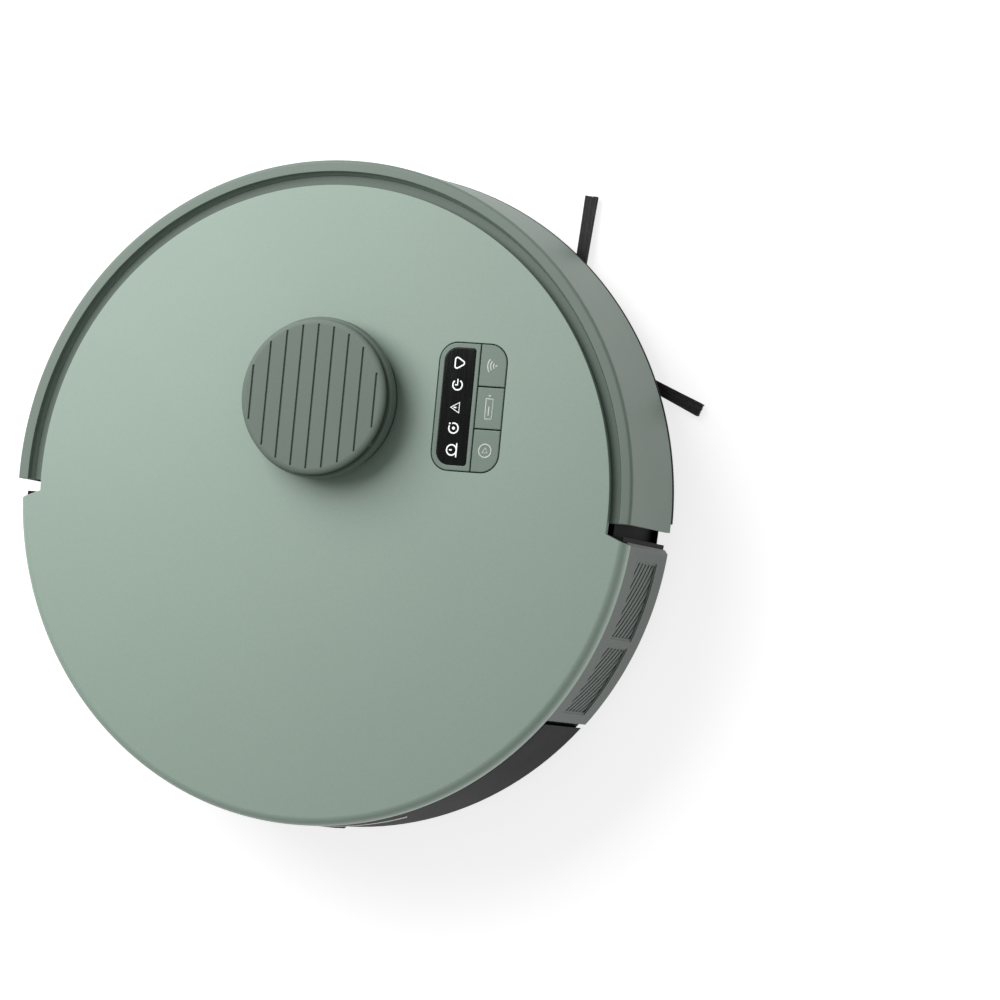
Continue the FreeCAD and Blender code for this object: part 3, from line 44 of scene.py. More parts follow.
scene = bpy.context.scene
random.seed(7)
print("frame loaded:", len(frame["nodes"]), "CAD nodes")


# small helpers for modelling, all in millimetres

def deselect():
    if bpy.context.object and bpy.context.object.mode != "OBJECT":
        bpy.ops.object.mode_set(mode="OBJECT")
    bpy.ops.object.select_all(action="DESELECT")


def takeUp(*pieces):
    deselect()
    for piece in pieces:
        piece.select_set(True)
    bpy.context.view_layer.objects.active = pieces[0]


def startPiece(name):
    # the new primitive gets its name, and its place goes into its mesh
    piece = bpy.context.object
    piece.name = name
    piece.data.name = name
    bpy.ops.object.transform_apply(location=True, rotation=True, scale=True)
    return piece


def drawLine(name, points, closed=True):
    # one vertex is extruded from point to point, and the line is left in edit mode
    deselect()
    bpy.ops.mesh.primitive_plane_add(size=mm, location=Vector(points[0]) * mm)
    piece = startPiece(name)
    bpy.ops.object.mode_set(mode="EDIT")
    bpy.ops.mesh.select_all(action="SELECT")
    bpy.ops.mesh.merge(type="CENTER")
    path = [*points, points[0]] if closed else points
    for near, far in zip(path, path[1:]):
        step = (Vector(far) - Vector(near)) * mm
        bpy.ops.mesh.extrude_vertices_move(TRANSFORM_OT_translate={"value": step})
    bpy.ops.mesh.select_all(action="SELECT")
    bpy.ops.mesh.remove_doubles(threshold=0.001 * mm)
    return piece


def finishMesh(joint=0.002):
    # closes seams and turns every face outwards, then leaves edit mode
    bpy.ops.mesh.select_all(action="SELECT")
    bpy.ops.mesh.remove_doubles(threshold=joint * mm)
    bpy.ops.mesh.normals_make_consistent(inside=False)
    bpy.ops.object.mode_set(mode="OBJECT")


def spinPiece(name, profile, centre=(0, 0, 0), axis="Z", start=0.0, sweep=360.0, steps=128):
    # a closed outline of (radius, height) points turned about an axis through the centre
    turn = math.radians(start)
    side, rise = math.cos(turn), math.sin(turn)
    if axis == "Z":
        points = [(centre[0] + r * side, centre[1] + r * rise, centre[2] + h) for r, h in profile]
        direction = (0, 0, 1)
    else:
        points = [(centre[0] + h, centre[1] + r * side, centre[2] + r * rise) for r, h in profile]
        direction = (1, 0, 0)
    piece = drawLine(name, points)
    bpy.ops.mesh.spin(steps=steps, angle=math.radians(-sweep), center=Vector(centre) * mm, axis=direction)
    bpy.ops.mesh.select_all(action="SELECT")
    bpy.ops.mesh.remove_doubles(threshold=0.002 * mm)
    if sweep < 360:
        bpy.ops.mesh.fill_holes(sides=0)
    finishMesh()
    return piece


def prism(name, outline, bottom, top):
    # a flat outline extruded upwards
    piece = drawLine(name, [(x, y, bottom) for x, y in outline])
    bpy.ops.mesh.edge_face_add()
    bpy.ops.mesh.extrude_region_move(TRANSFORM_OT_translate={"value": (0, 0, (top - bottom) * mm)})
    finishMesh()
    return piece


def slab(name, low, high):
    deselect()
    middle = (Vector(low) + Vector(high)) / 2 * mm
    bpy.ops.mesh.primitive_cube_add(size=1, location=middle, scale=(Vector(high) - Vector(low)) * mm)
    return startPiece(name)


def rod(name, radius, low, high, centre, axis="Z", sides=48):
    # a cylinder between two places on its axis, through a centre given on the other two axes
    deselect()
    middle, length = (low + high) / 2, high - low
    if axis == "Z":
        place, turn = (centre[0], centre[1], middle), (0, 0, 0)
    elif axis == "X":
        place, turn = (middle, centre[0], centre[1]), (0, math.pi / 2, 0)
    else:
        place, turn = (centre[0], middle, centre[1]), (math.pi / 2, 0, 0)
    bpy.ops.mesh.primitive_cylinder_add(vertices=sides, radius=radius * mm, depth=length * mm,
                                        location=Vector(place) * mm, rotation=turn)
    return startPiece(name)


def arc(radius, start, end, count, centre=(0, 0)):
    turns = [math.radians(start + (end - start) * i / count) for i in range(count + 1)]
    return [(centre[0] + radius * math.cos(t), centre[1] + radius * math.sin(t)) for t in turns]


def roundedBox(left, right, rear, front, radii, count=10):
    # corner radii run anticlockwise from the right front corner
    outline = []
    corners = [(right, front, -1, -1), (left, front, 1, -1), (left, rear, 1, 1), (right, rear, -1, 1)]
    for number, ((x, y, sideX, sideY), radius) in enumerate(zip(corners, radii)):
        turn = 90 * number
        middle = (x + sideX * radius, y + sideY * radius)
        outline += arc(radius, turn, turn + 90, count, middle) if radius else [(x, y)]
    return outline


def applyModifier(piece, kind, **settings):
    takeUp(piece)
    modifier = piece.modifiers.new(kind.title(), kind)
    for name, value in settings.items():
        setattr(modifier, name, value)
    bpy.ops.object.modifier_apply(modifier=modifier.name)


def carve(piece, tool, how="DIFFERENCE"):
    applyModifier(piece, "BOOLEAN", operation=how, object=tool, solver="EXACT")
    bpy.data.objects.remove(tool)


def trim(piece, point, normal):
    # cuts away what lies on the normal's side of a plane, and closes the cut
    takeUp(piece)
    bpy.ops.object.mode_set(mode="EDIT")
    bpy.ops.mesh.select_all(action="SELECT")
    bpy.ops.mesh.bisect(plane_co=Vector(point) * mm, plane_no=normal, use_fill=True, clear_outer=True)
    bpy.ops.object.mode_set(mode="OBJECT")


def chamferEdges(piece, chosen, width, segments=1):
    # bevels the edges whose two ends pass a test
    takeUp(piece)
    bpy.ops.object.mode_set(mode="EDIT")
    bpy.ops.mesh.select_mode(type="EDGE")
    bpy.ops.mesh.select_all(action="DESELECT")
    bpy.ops.object.mode_set(mode="OBJECT")
    corners = piece.data.vertices
    for edge in piece.data.edges:
        edge.select = all(chosen(corners[i].co / mm) for i in edge.vertices)
    bpy.ops.object.mode_set(mode="EDIT")
    bpy.ops.mesh.bevel(offset=width * mm, segments=segments, affect="EDGES")
    bpy.ops.mesh.select_mode(type="VERT")
    bpy.ops.object.mode_set(mode="OBJECT")


def softenEdges(piece, width, segments=3, angle=32):
    # the fine rounding that a mould leaves on every sharp edge, with flat faces kept flat
    if width:
        applyModifier(piece, "BEVEL", width=width * mm, segments=segments, limit_method="ANGLE",
                      angle_limit=math.radians(angle))
    takeUp(piece)
    bpy.ops.object.shade_smooth_by_angle(angle=math.radians(angle))
    applyModifier(piece, "WEIGHTED_NORMAL", keep_sharp=True, weight=80)


def joinAll(name, parts):
    takeUp(*parts)
    bpy.ops.object.join()
    joined = bpy.context.object
    joined.name = name
    joined.data.name = name
    return joined


def copyOf(piece, matrix):
    twin = piece.copy()
    twin.data = piece.data.copy()
    twin.data.transform(matrix)
    if matrix.determinant() < 0:
        twin.data.flip_normals()
    scene.collection.objects.link(twin)
    return twin


def about(point, degrees, axis):
    # the matrix of a turn about a line through a point in millimetres
    place = Vector(point) * mm
    turn = Matrix.Rotation(math.radians(degrees), 4, axis)
    return Matrix.Translation(place) @ turn @ Matrix.Translation(-place)


def refined(node, width=0.35, segments=2):
    # a CAD node's own shape with its loose triangles joined, its edges rounded and its curves smooth
    takeUp(frame["nodes"][node])
    piece = frame["nodes"][node].copy()
    piece.data = piece.data.copy()
    piece.parent = None
    piece.name = node + "_finished"
    scene.collection.objects.link(piece)
    takeUp(piece)
    bpy.ops.object.mode_set(mode="EDIT")
    bpy.ops.mesh.select_all(action="SELECT")
    bpy.ops.mesh.remove_doubles(threshold=0.003 * mm)
    bpy.ops.mesh.dissolve_limited(angle_limit=math.radians(0.3))
    bpy.ops.object.mode_set(mode="OBJECT")
    softenEdges(piece, width, segments)
    return piece


def inkStroke(points, width, height, closed=False):
    # a printed line: a round tube along the points, pressed flat on the surface at that height
    flatness = 0.2
    level = Vector((0, 0, height)) * mm
    curve = bpy.data.curves.new("stroke", "CURVE")
    curve.dimensions = "3D"
    curve.bevel_depth = width / 2 * mm
    curve.bevel_resolution = 2
    curve.use_fill_caps = True
    spline = curve.splines.new("POLY")
    spline.points.add(len(points) - 1)
    for knot, (x, y) in zip(spline.points, points):
        knot.co = (x * mm, y * mm, height * mm, 1)
    spline.use_cyclic_u = closed
    stroke = bpy.data.objects.new("stroke", curve)
    scene.collection.objects.link(stroke)
    takeUp(stroke)
    bpy.ops.object.convert(target="MESH")
    stroke = bpy.context.object
    flat = Matrix.Diagonal((1, 1, flatness, 1))
    stroke.data.transform(Matrix.Translation(level) @ flat @ Matrix.Translation(-level))
    return stroke


def settle(piece, body, material, slot, *nodes):
    # a finished piece gets its finish and its body, and the CAD nodes it stands for are hidden
    piece.data.materials.clear()
    piece.data.materials.append(material)
    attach(piece, body)
    if nodes:
        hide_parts(*nodes)


# finishes

def toLinear(hexText):
    channels = [int(hexText[i:i + 2], 16) / 255 for i in (1, 3, 5)]
    return (*[c / 12.92 if c <= 0.04045 else ((c + 0.055) / 1.055) ** 2.4 for c in channels], 1.0)


def addNode(tree, kind, settings=None, links=None):
    node = tree.nodes.new(kind)
    for name, value in (settings or {}).items():
        if name in node.inputs:
            node.inputs[name].default_value = value
        else:
            setattr(node, name, value)
    for name, source in (links or {}).items():
        tree.links.new(source, node.inputs[name])
    return node


def newMaterial(name, settings):
    # settings are the shader's own sockets, the same all over the surface
    material = bpy.data.materials.new(name)
    material.use_nodes = True
    tree = material.node_tree
    shader = tree.nodes["Principled BSDF"]
    for socket, value in settings.items():
        shader.inputs[socket].default_value = value
    place = addNode(tree, "ShaderNodeTexCoord").outputs["Object"]
    return material, tree, shader.inputs, place


def edgeMask(tree, radius, amount):
    # 0 on flats, rising to the amount where an edge turns within the radius
    rounded = addNode(tree, "ShaderNodeBevel", {"samples": 4, "Radius": radius * mm}).outputs[0]
    facing = addNode(tree, "ShaderNodeNewGeometry").outputs["Normal"]
    same = addNode(tree, "ShaderNodeVectorMath", {"operation": "DOT_PRODUCT"})
    tree.links.new(rounded, same.inputs[0])
    tree.links.new(facing, same.inputs[1])
    mask = addNode(tree, "ShaderNodeMapRange", {"From Min": 0.995, "From Max": 0.88, "To Max": amount},
                   {"Value": same.outputs["Value"]})
    return mask.outputs[0], rounded


def moulded(name, look):
    # injection-moulded plastic: an even spark-eroded grain, slow drifts of tone, and edges rubbed lighter
    sockets = {"IOR": look.get("ior", 1.53), "Specular IOR Level": look.get("specular", 0.5)}
    material, tree, shader, place = newMaterial(name, sockets)
    grain = addNode(tree, "ShaderNodeTexNoise", {"Scale": 1 / (look["grain"] * mm), "Detail": 2.0},
                    {"Vector": place}).outputs["Fac"]
    drift = addNode(tree, "ShaderNodeTexNoise", {"Scale": 1 / (look["drift"] * mm), "Detail": 3.0},
                    {"Vector": place}).outputs["Fac"]
    tone = addNode(tree, "ShaderNodeMixRGB", {"Color1": toLinear(look["colour"]),
                                              "Color2": toLinear(look["shade"])}, {"Fac": drift}).outputs[0]
    speck = addNode(tree, "ShaderNodeMapRange", {"From Min": 0.3, "From Max": 0.7, "To Min": look["speck"]},
                    {"Value": grain}).outputs[0]
    speckled = addNode(tree, "ShaderNodeMixRGB", {"blend_type": "MULTIPLY", "Fac": 1.0},
                       {"Color1": tone, "Color2": speck}).outputs[0]
    mask, rounded = edgeMask(tree, 0.5, look["wear"])
    worn = addNode(tree, "ShaderNodeMixRGB", {"Color2": toLinear(look["worn"])},
                   {"Fac": mask, "Color1": speckled})
    gloss = addNode(tree, "ShaderNodeMapRange", {"To Min": look["roughness"] - look["spread"],
                                                 "To Max": look["roughness"] + look["spread"]},
                    {"Value": drift})
    bump = addNode(tree, "ShaderNodeBump", {"Strength": look["relief"],
                                            "Distance": look["grain"] * 0.25 * mm},
                   {"Height": grain, "Normal": rounded})
    tree.links.new(worn.outputs[0], shader["Base Color"])
    tree.links.new(gloss.outputs[0], shader["Roughness"])
    tree.links.new(bump.outputs[0], shader["Normal"])
    return material


def metal(name, look):
    # rolled or drawn metal: fine lines along one way, small pits, a slightly uneven polish
    material, tree, shader, place = newMaterial(name, {"Metallic": 1.0})
    stretch = addNode(tree, "ShaderNodeMapping", {"Scale": look["stretch"]}, {"Vector": place}).outputs[0]
    lines = addNode(tree, "ShaderNodeTexNoise", {"Scale": 1.0, "Detail": 5.0},
                    {"Vector": stretch}).outputs["Fac"]
    pits = addNode(tree, "ShaderNodeTexNoise", {"Scale": 1 / (look["pit"] * mm), "Detail": 3.0},
                   {"Vector": place}).outputs["Fac"]
    colour = addNode(tree, "ShaderNodeMixRGB", {"Color1": toLinear(look["colour"]),
                                                "Color2": toLinear(look["shade"])}, {"Fac": pits})
    gloss = addNode(tree, "ShaderNodeMapRange", {"To Min": look["roughness"] - 0.08,
                                                 "To Max": look["roughness"] + 0.12}, {"Value": lines})
    bump = addNode(tree, "ShaderNodeBump", {"Strength": 0.2, "Distance": 0.05 * mm}, {"Height": lines})
    tree.links.new(colour.outputs[0], shader["Base Color"])
    tree.links.new(gloss.outputs[0], shader["Roughness"])
    tree.links.new(bump.outputs[0], shader["Normal"])
    return material


def patterned(name, look, sockets):
    # a stretched noise drives the colour, the gloss and a little relief, each between two ends
    material, tree, shader, place = newMaterial(name, sockets)
    stretch = addNode(tree, "ShaderNodeMapping", {"Scale": [1 / (size * mm) for size in look["sizes"]]},
                      {"Vector": place}).outputs[0]
    cloud = addNode(tree, "ShaderNodeTexNoise", {"Scale": 1.0, "Detail": look["detail"]},
                    {"Vector": stretch}).outputs["Fac"]
    colour = addNode(tree, "ShaderNodeMixRGB", {"Color1": toLinear(look["colour"]),
                                                "Color2": toLinear(look["shade"])}, {"Fac": cloud})
    gloss = addNode(tree, "ShaderNodeMapRange", {"To Min": look["gloss"][0], "To Max": look["gloss"][1]},
                    {"Value": cloud})
    bump = addNode(tree, "ShaderNodeBump", {"Strength": look["relief"], "Distance": look["height"] * mm},
                   {"Height": cloud})
    tree.links.new(colour.outputs[0], shader["Base Color"])
    tree.links.new(gloss.outputs[0], shader["Roughness"])
    tree.links.new(bump.outputs[0], shader["Normal"])
    return material


# the real grain is near 0.3 mm: it is drawn about three times as coarse, so that it shows
coverAbs = moulded("ABS_moulded_sage", {
    "colour": "#9DB1A4", "shade": "#99ADA0", "worn": "#B3C6BA", "grain": 0.9, "drift": 90, "speck": 0.95,
    "roughness": 0.46, "spread": 0.03, "relief": 0.12, "wear": 0.5})
bumperAbs = moulded("ABS_moulded_bumper", {
    "colour": "#76867B", "shade": "#718176", "worn": "#8D9F93", "grain": 0.9, "drift": 70, "speck": 0.93,
    "roughness": 0.52, "spread": 0.04, "relief": 0.16, "wear": 0.5})
# the ledge's colour is the bumper's colour darkened: painted shade for the recess below the band's step
ledgePaintedShadeAbs = moulded("ABS_moulded_bumper_ledge_painted_shade", {
    "colour": "#66766B", "shade": "#617166", "worn": "#7C8D82", "grain": 0.9, "drift": 70, "speck": 0.93,
    "roughness": 0.55, "spread": 0.04, "relief": 0.16, "wear": 0.4})
panelAbs = moulded("ABS_moulded_side_panel", {
    "colour": "#5C645F", "shade": "#575F5A", "worn": "#78827C", "grain": 0.9, "drift": 60, "speck": 0.92,
    "roughness": 0.5, "spread": 0.05, "relief": 0.2, "wear": 0.6})
turretAbs = moulded("ABS_moulded_turret", {
    "colour": "#6C7B70", "shade": "#68776C", "worn": "#84948A", "grain": 0.8, "drift": 50, "speck": 0.94,
    "roughness": 0.56, "spread": 0.04, "relief": 0.14, "wear": 0.5})
keyAbs = moulded("ABS_satin_keys", {
    "colour": "#7B8E82", "shade": "#778A7E", "worn": "#8FA296", "grain": 0.7, "drift": 40, "speck": 0.95,
    "roughness": 0.42, "spread": 0.04, "relief": 0.1, "wear": 0.4})
blackAbs = moulded("ABS_textured_black", {
    "colour": "#0D0D0D", "shade": "#111111", "worn": "#262727", "grain": 0.8, "drift": 45, "speck": 0.82,
    "roughness": 0.58, "spread": 0.06, "relief": 0.3, "wear": 0.4, "specular": 0.1})
greyPom = moulded("POM_moulded_grey", {
    "colour": "#5B5E5E", "shade": "#545757", "worn": "#7B7E7E", "grain": 0.7, "drift": 30, "speck": 0.9,
    "roughness": 0.4, "spread": 0.06, "relief": 0.12, "wear": 0.5})
rubber = moulded("rubber_moulded_black", {
    "colour": "#191919", "shade": "#202020", "worn": "#303030", "grain": 0.6, "drift": 25, "speck": 0.8,
    "roughness": 0.78, "spread": 0.06, "relief": 0.4, "wear": 0.4, "ior": 1.5})
printInk = moulded("pad_print_pale", {
    "colour": "#DCE4DF", "shade": "#D3DCD6", "worn": "#E4EAE6", "grain": 0.5, "drift": 20, "speck": 0.93,
    "roughness": 0.55, "spread": 0.03, "relief": 0.06, "wear": 0.1})
zincSteel = metal("steel_zinc_plated", {
    "colour": "#A9ABAC", "shade": "#97999B", "pit": 2.5, "roughness": 0.34, "stretch": (300, 3000, 3000)})
# this bright metal serves the real contact plates, and also the strip on the dustbin's rear wall, where it
# is a painted highlight for light on the port's rim
nickelAndRimHighlight = metal("steel_nickel_brushed_and_rim_highlight", {
    "colour": "#C4C2BC", "shade": "#B4B2AC", "pit": 4.0, "roughness": 0.28, "stretch": (200, 200, 5000)})
# polished acrylic is deep and mirror-smooth, with faint wiping marks along its length
blackPmma = patterned("PMMA_polished_black", {
    "colour": "#070808", "shade": "#0D0E0E", "sizes": (1.2, 14, 3), "detail": 6.0, "gloss": (0.05, 0.17),
    "relief": 0.02, "height": 0.02}, {"IOR": 1.49, "Specular IOR Level": 0.3})
# smoked polycarbonate over the sensors is dark, smooth and slightly see-through
smokedPc = patterned("PC_smoked_window", {
    "colour": "#17191B", "shade": "#24272A", "sizes": (6, 6, 6), "detail": 3.0, "gloss": (0.06, 0.2),
    "relief": 0.02, "height": 0.02}, {"IOR": 1.58, "Transmission Weight": 0.25})
# drawn nylon filament is dark with a soft sheen, duller towards its cut ends
nylonHair = patterned("nylon_filament_black", {
    "colour": "#101010", "shade": "#2B2B2B", "sizes": (0.9, 0.9, 0.9), "detail": 4.0, "gloss": (0.3, 0.55),
    "relief": 0.1, "height": 0.05}, {"IOR": 1.53, "Sheen Weight": 0.25})
# resin-bonded glass paper is off-white and fibrous
filterPaper = patterned("filter_paper_pleated", {
    "colour": "#E4E3DC", "shade": "#C9C7BE", "sizes": (0.7, 0.7, 0.7), "detail": 8.0, "gloss": (0.85, 0.95),
    "relief": 0.4, "height": 0.2}, {"IOR": 1.45})
# heat-shrunk film is tight and glossy, with long soft wrinkles
cellFilm = patterned("PVC_shrink_film_blue", {
    "colour": "#1C3D6E", "shade": "#264F8A", "sizes": (16, 2, 2), "detail": 4.0, "gloss": (0.22, 0.4),
    "relief": 0.3, "height": 0.4}, {"IOR": 1.54})
# light through a printed mask is a little brighter at a stroke's middle
litSegment = patterned("display_segment_lit", {
    "colour": "#DDE6E2", "shade": "#F4F8F6", "sizes": (0.8, 0.8, 0.8), "detail": 2.0, "gloss": (0.35, 0.5),
    "relief": 0.02, "height": 0.02}, {"Emission Color": toLinear("#E9EFEC"), "Emission Strength": 0.55})


def solderMasked():
    # glass-fibre board: green lacquer over copper tracks, which show as lighter paths
    material, tree, shader, place = newMaterial("FR4_solder_masked", {"IOR": 1.5})
    greens = {"Color1": toLinear("#12492F"), "Color2": toLinear("#0F3F29"), "Mortar": toLinear("#2A7A55")}
    tracks = addNode(tree, "ShaderNodeTexBrick", {"Scale": 1 / (6 * mm), "Mortar Size": 0.06, **greens},
                     {"Vector": place})
    cloud = addNode(tree, "ShaderNodeTexNoise", {"Scale": 1 / (3 * mm)}, {"Vector": place})
    gloss = addNode(tree, "ShaderNodeMapRange", {"To Min": 0.25, "To Max": 0.42},
                    {"Value": cloud.outputs["Fac"]})
    bump = addNode(tree, "ShaderNodeBump", {"Strength": 0.2, "Distance": 0.05 * mm},
                   {"Height": tracks.outputs["Fac"]})
    tree.links.new(tracks.outputs["Color"], shader["Base Color"])
    tree.links.new(gloss.outputs[0], shader["Roughness"])
    tree.links.new(bump.outputs[0], shader["Normal"])
    return material


slotFinish = {
    "sage_shell": coverAbs, "bumper_shell": bumperAbs, "panel_shell": panelAbs, "turret_shell": turretAbs,
    "key_shell": keyAbs, "black_shell": blackAbs, "black_gloss": blackPmma, "clear_smoke": smokedPc,
    "grey_plastic": greyPom, "soft_rubber": rubber, "bristle": nylonHair, "spring_steel": zincSteel,
    "motor_can": zincSteel, "cell_wrap": cellFilm, "contact_plate": nickelAndRimHighlight, "board": solderMasked(),
    "filter_paper": filterPaper}
slotOf = {row["node"]: row["material_slot"] for row in frame["record"]["subparts"]}
for name, node in frame["nodes"].items():
    node.data.materials.clear()
    node.data.materials.append(slotFinish[slotOf[name]])
print("finishes made")


# top cover: a spun disc with a rounded rim, stepped in under the bumper at the front

cover = {"rear": 173.0, "front": 161.0, "top": 77.0, "thick": 3.0, "skirt": 7.0, "skirtThick": 2.5,
         "round": 4.5, "notchY": -10.1, "notchSlope": 4.4 / 10.8, "hole": 39.5, "edge": 0.5}
panel = {"left": 61.3, "right": 98.3, "rear": 16.5, "front": 82.4, "round": 9.5, "gap": 0.6, "proud": 0.3}
turretY = 48.4


def makeCover():
    c, p = cover, panel
    inner, under = c["rear"] - c["skirtThick"], c["top"] - c["thick"]
    rim = arc(c["round"], 90, 0, 10, (c["rear"] - c["round"], c["top"] - c["round"]))
    foot = c["top"] - c["skirt"]
    shell = spinPiece("cover_shell", [(0, c["top"]), *rim, (c["rear"], foot), (inner, foot), (inner, under),
                                      (0, under)], steps=256)
    cornerX = math.sqrt(c["front"] ** 2 - c["notchY"] ** 2)
    turn = math.degrees(math.asin(-c["notchY"] / c["front"]))
    beyond = 2 * c["rear"]
    slopeY = c["notchY"] - c["notchSlope"] * (beyond - cornerX)
    step = [*arc(c["front"], 180 + turn, -turn, 160), (beyond, slopeY), (beyond, beyond), (-beyond, beyond),
            (-beyond, slopeY)]
    carve(shell, prism("cover_step", step, foot - 1, c["top"] + 1))
    carve(shell, rod("cover_hole", c["hole"], foot, c["top"] + 5, (0, turretY), sides=128))
    gap = p["gap"]
    hole = roundedBox(p["left"] - gap, p["right"] + gap, p["rear"] - gap, p["front"] + gap,
                      [p["round"] + gap] * 4)
    carve(shell, prism("panel_hole", hole, foot, c["top"] + 5))
    softenEdges(shell, c["edge"])
    settle(shell, "base", coverAbs, "sage_shell", "top_cover")


makeCover()
print("cover made")


# front bumper: an arc of wall with a flat band and a ledge that runs over the cover's front

bumper = {"crown": 174.0, "foot": 175.2, "top": 78.5, "bottom": 20.6, "wall": 2.5, "band": 6.0,
          "ledge": 155.0, "ledgeTop": 73.4, "ledgeThick": 2.0, "slope": 1.7, "rise": 1.6, "round": 1.8,
          "end": -4.5,
          "lipTall": 2.4, "lipDeep": 2.6, "lipOut": 0.2, "lipEnd": 0.0}


def makeBumper():
    b = bumper
    band = b["crown"] - b["band"]
    crown = arc(b["round"], 0, 90, 8, (b["crown"] - b["round"], b["top"] - b["round"]))
    under = b["ledgeTop"] - b["ledgeThick"]
    root = band - b["slope"]
    shell = spinPiece("bumper_shell", [
        (b["foot"], b["bottom"]), *crown, (band, b["top"]), (band, b["ledgeTop"] + b["rise"]),
        (root, b["ledgeTop"]), (root, under), (band, under), (b["crown"] - b["wall"], under),
        (b["foot"] - b["wall"], b["bottom"])], steps=256)
    trim(shell, (0, b["end"], 0), (0, -1, 0))
    softenEdges(shell, 0.45)
    settle(shell, "bumper", bumperAbs, "bumper_shell", "front_bumper")
    # the ledge is coloured darker than the band, as painted shade for its recess under the band's step, so
    # it is a face of its own
    ledge = spinPiece("bumper_ledge", [(b["ledge"], under), (root, under), (root, b["ledgeTop"]),
                                       (b["ledge"], b["ledgeTop"])], steps=256)
    trim(ledge, (0, b["end"], 0), (0, -1, 0))
    softenEdges(ledge, 0.3)
    settle(ledge, "bumper", ledgePaintedShadeAbs, "bumper_shell")
    low, inner, outer = b["bottom"] - b["lipTall"], b["foot"] - b["lipDeep"], b["foot"] + b["lipOut"]
    lip = spinPiece("bumper_lip_strip", [(inner, low), (outer, low), (outer, b["bottom"]),
                                         (inner, b["bottom"])], steps=256)
    trim(lip, (0, b["lipEnd"], 0), (0, -1, 0))
    softenEdges(lip, 0.5)
    settle(lip, "bumper", blackAbs, "black_shell", "bumper_lip")


makeBumper()
print("bumper made")


# side panels: curved walls with two framed windows each, and slats that rise to the rear

side = {"outer": 172.7, "thick": 2.5, "bottom": 12.4, "top": 69.8, "front": -4.4, "rear": -38.35,
        "facet": 2.0, "low": 25.5, "high": 56.0, "windows": [(-36.3, -22.5), (-21.2, -7.1)], "frame": 1.1,
        "frameDeep": 0.45, "lean": 35.0, "pitch": 4.0, "slat": 2.7, "slatDeep": 1.5}


def sector(name, outer, inner, low, high, start, end, steps):
    return spinPiece(name, [(inner, low), (outer, low), (outer, high), (inner, high)], start=start,
                     sweep=end - start, steps=steps)


def makeSidePanel():
    s = side
    inner = s["outer"] - s["thick"]
    shell = sector("side_panel", s["outer"], inner, s["bottom"], s["top"], s["rear"], s["front"], 48)
    grilles = []
    for start, end in s["windows"]:
        margin = math.degrees(s["frame"] / s["outer"])
        beyond = s["outer"] + 1
        carve(shell, sector("window_rebate", beyond, s["outer"] - s["frameDeep"], s["low"], s["high"],
                            start, end, 20))
        carve(shell, sector("window_hole", beyond, inner - 1, s["low"] + s["frame"],
                            s["high"] - s["frame"], start + margin, end - margin, 20))
        middle = math.radians((start + end) / 2)
        long = math.radians(end - start) * s["outer"] + s["high"] - s["low"]
        count = math.ceil(long / s["pitch"])
        slats = []
        for number in range(-count // 2, count // 2 + 1):
            reach = number * s["pitch"]
            slats.append(slab("slat", (-s["thick"] * 2, -long / 2, reach - s["slat"] / 2),
                              (s["thick"] * 2, long / 2, reach + s["slat"] / 2)))
        fan = joinAll("slat_fan", slats)
        place = Vector((math.cos(middle) * s["outer"], math.sin(middle) * s["outer"],
                        (s["low"] + s["high"]) / 2)) * mm
        fan.data.transform(Matrix.Translation(place) @ Matrix.Rotation(middle, 4, "Z")
                           @ Matrix.Rotation(math.radians(-s["lean"]), 4, "X"))
        zone = sector("slat_zone", inner + s["slatDeep"], inner, s["low"] + s["frame"] / 2,
                      s["high"] - s["frame"] / 2, start + margin / 2, end - margin / 2, 20)
        carve(zone, fan, "INTERSECT")
        softenEdges(zone, 0.25, 2)
        grilles.append(zone)
    front = math.radians(s["front"])
    corner = Vector((math.cos(front) * s["outer"], math.sin(front) * s["outer"]))
    chamferEdges(shell, lambda spot: (spot.xy - corner).length < 0.05, s["facet"])
    softenEdges(shell, 0.3)
    return joinAll("side_panel_right", [shell, *grilles])


rightPanel = makeSidePanel()
leftPanel = copyOf(rightPanel, Matrix.Diagonal((-1, 1, 1, 1)))
leftPanel.name = "side_panel_left"
settle(rightPanel, "base", panelAbs, "panel_shell", "exhaust_panel_right")
settle(leftPanel, "base", panelAbs, "panel_shell", "exhaust_panel_left")
print("side panels made")


# laser turret: a neck and flange ring, three posts, and a grooved cap over the slit

turret = {"neck": 39.2, "neckWall": 2.5, "low": 74.0, "flange": 42.0, "flangeLow": 85.0, "flangeTop": 91.0,
          "round": 1.2, "post": 1.6, "postCircle": 38.6, "postTurn": -35.0, "capLow": 94.0, "cap": 40.5,
          "capTop": 96.5, "border": 3.2, "drop": 1.4, "pitch": 8.7, "grooves": 9, "grooveWide": 1.1,
          "grooveDeep": 0.9, "grooveEnd": 37.6}


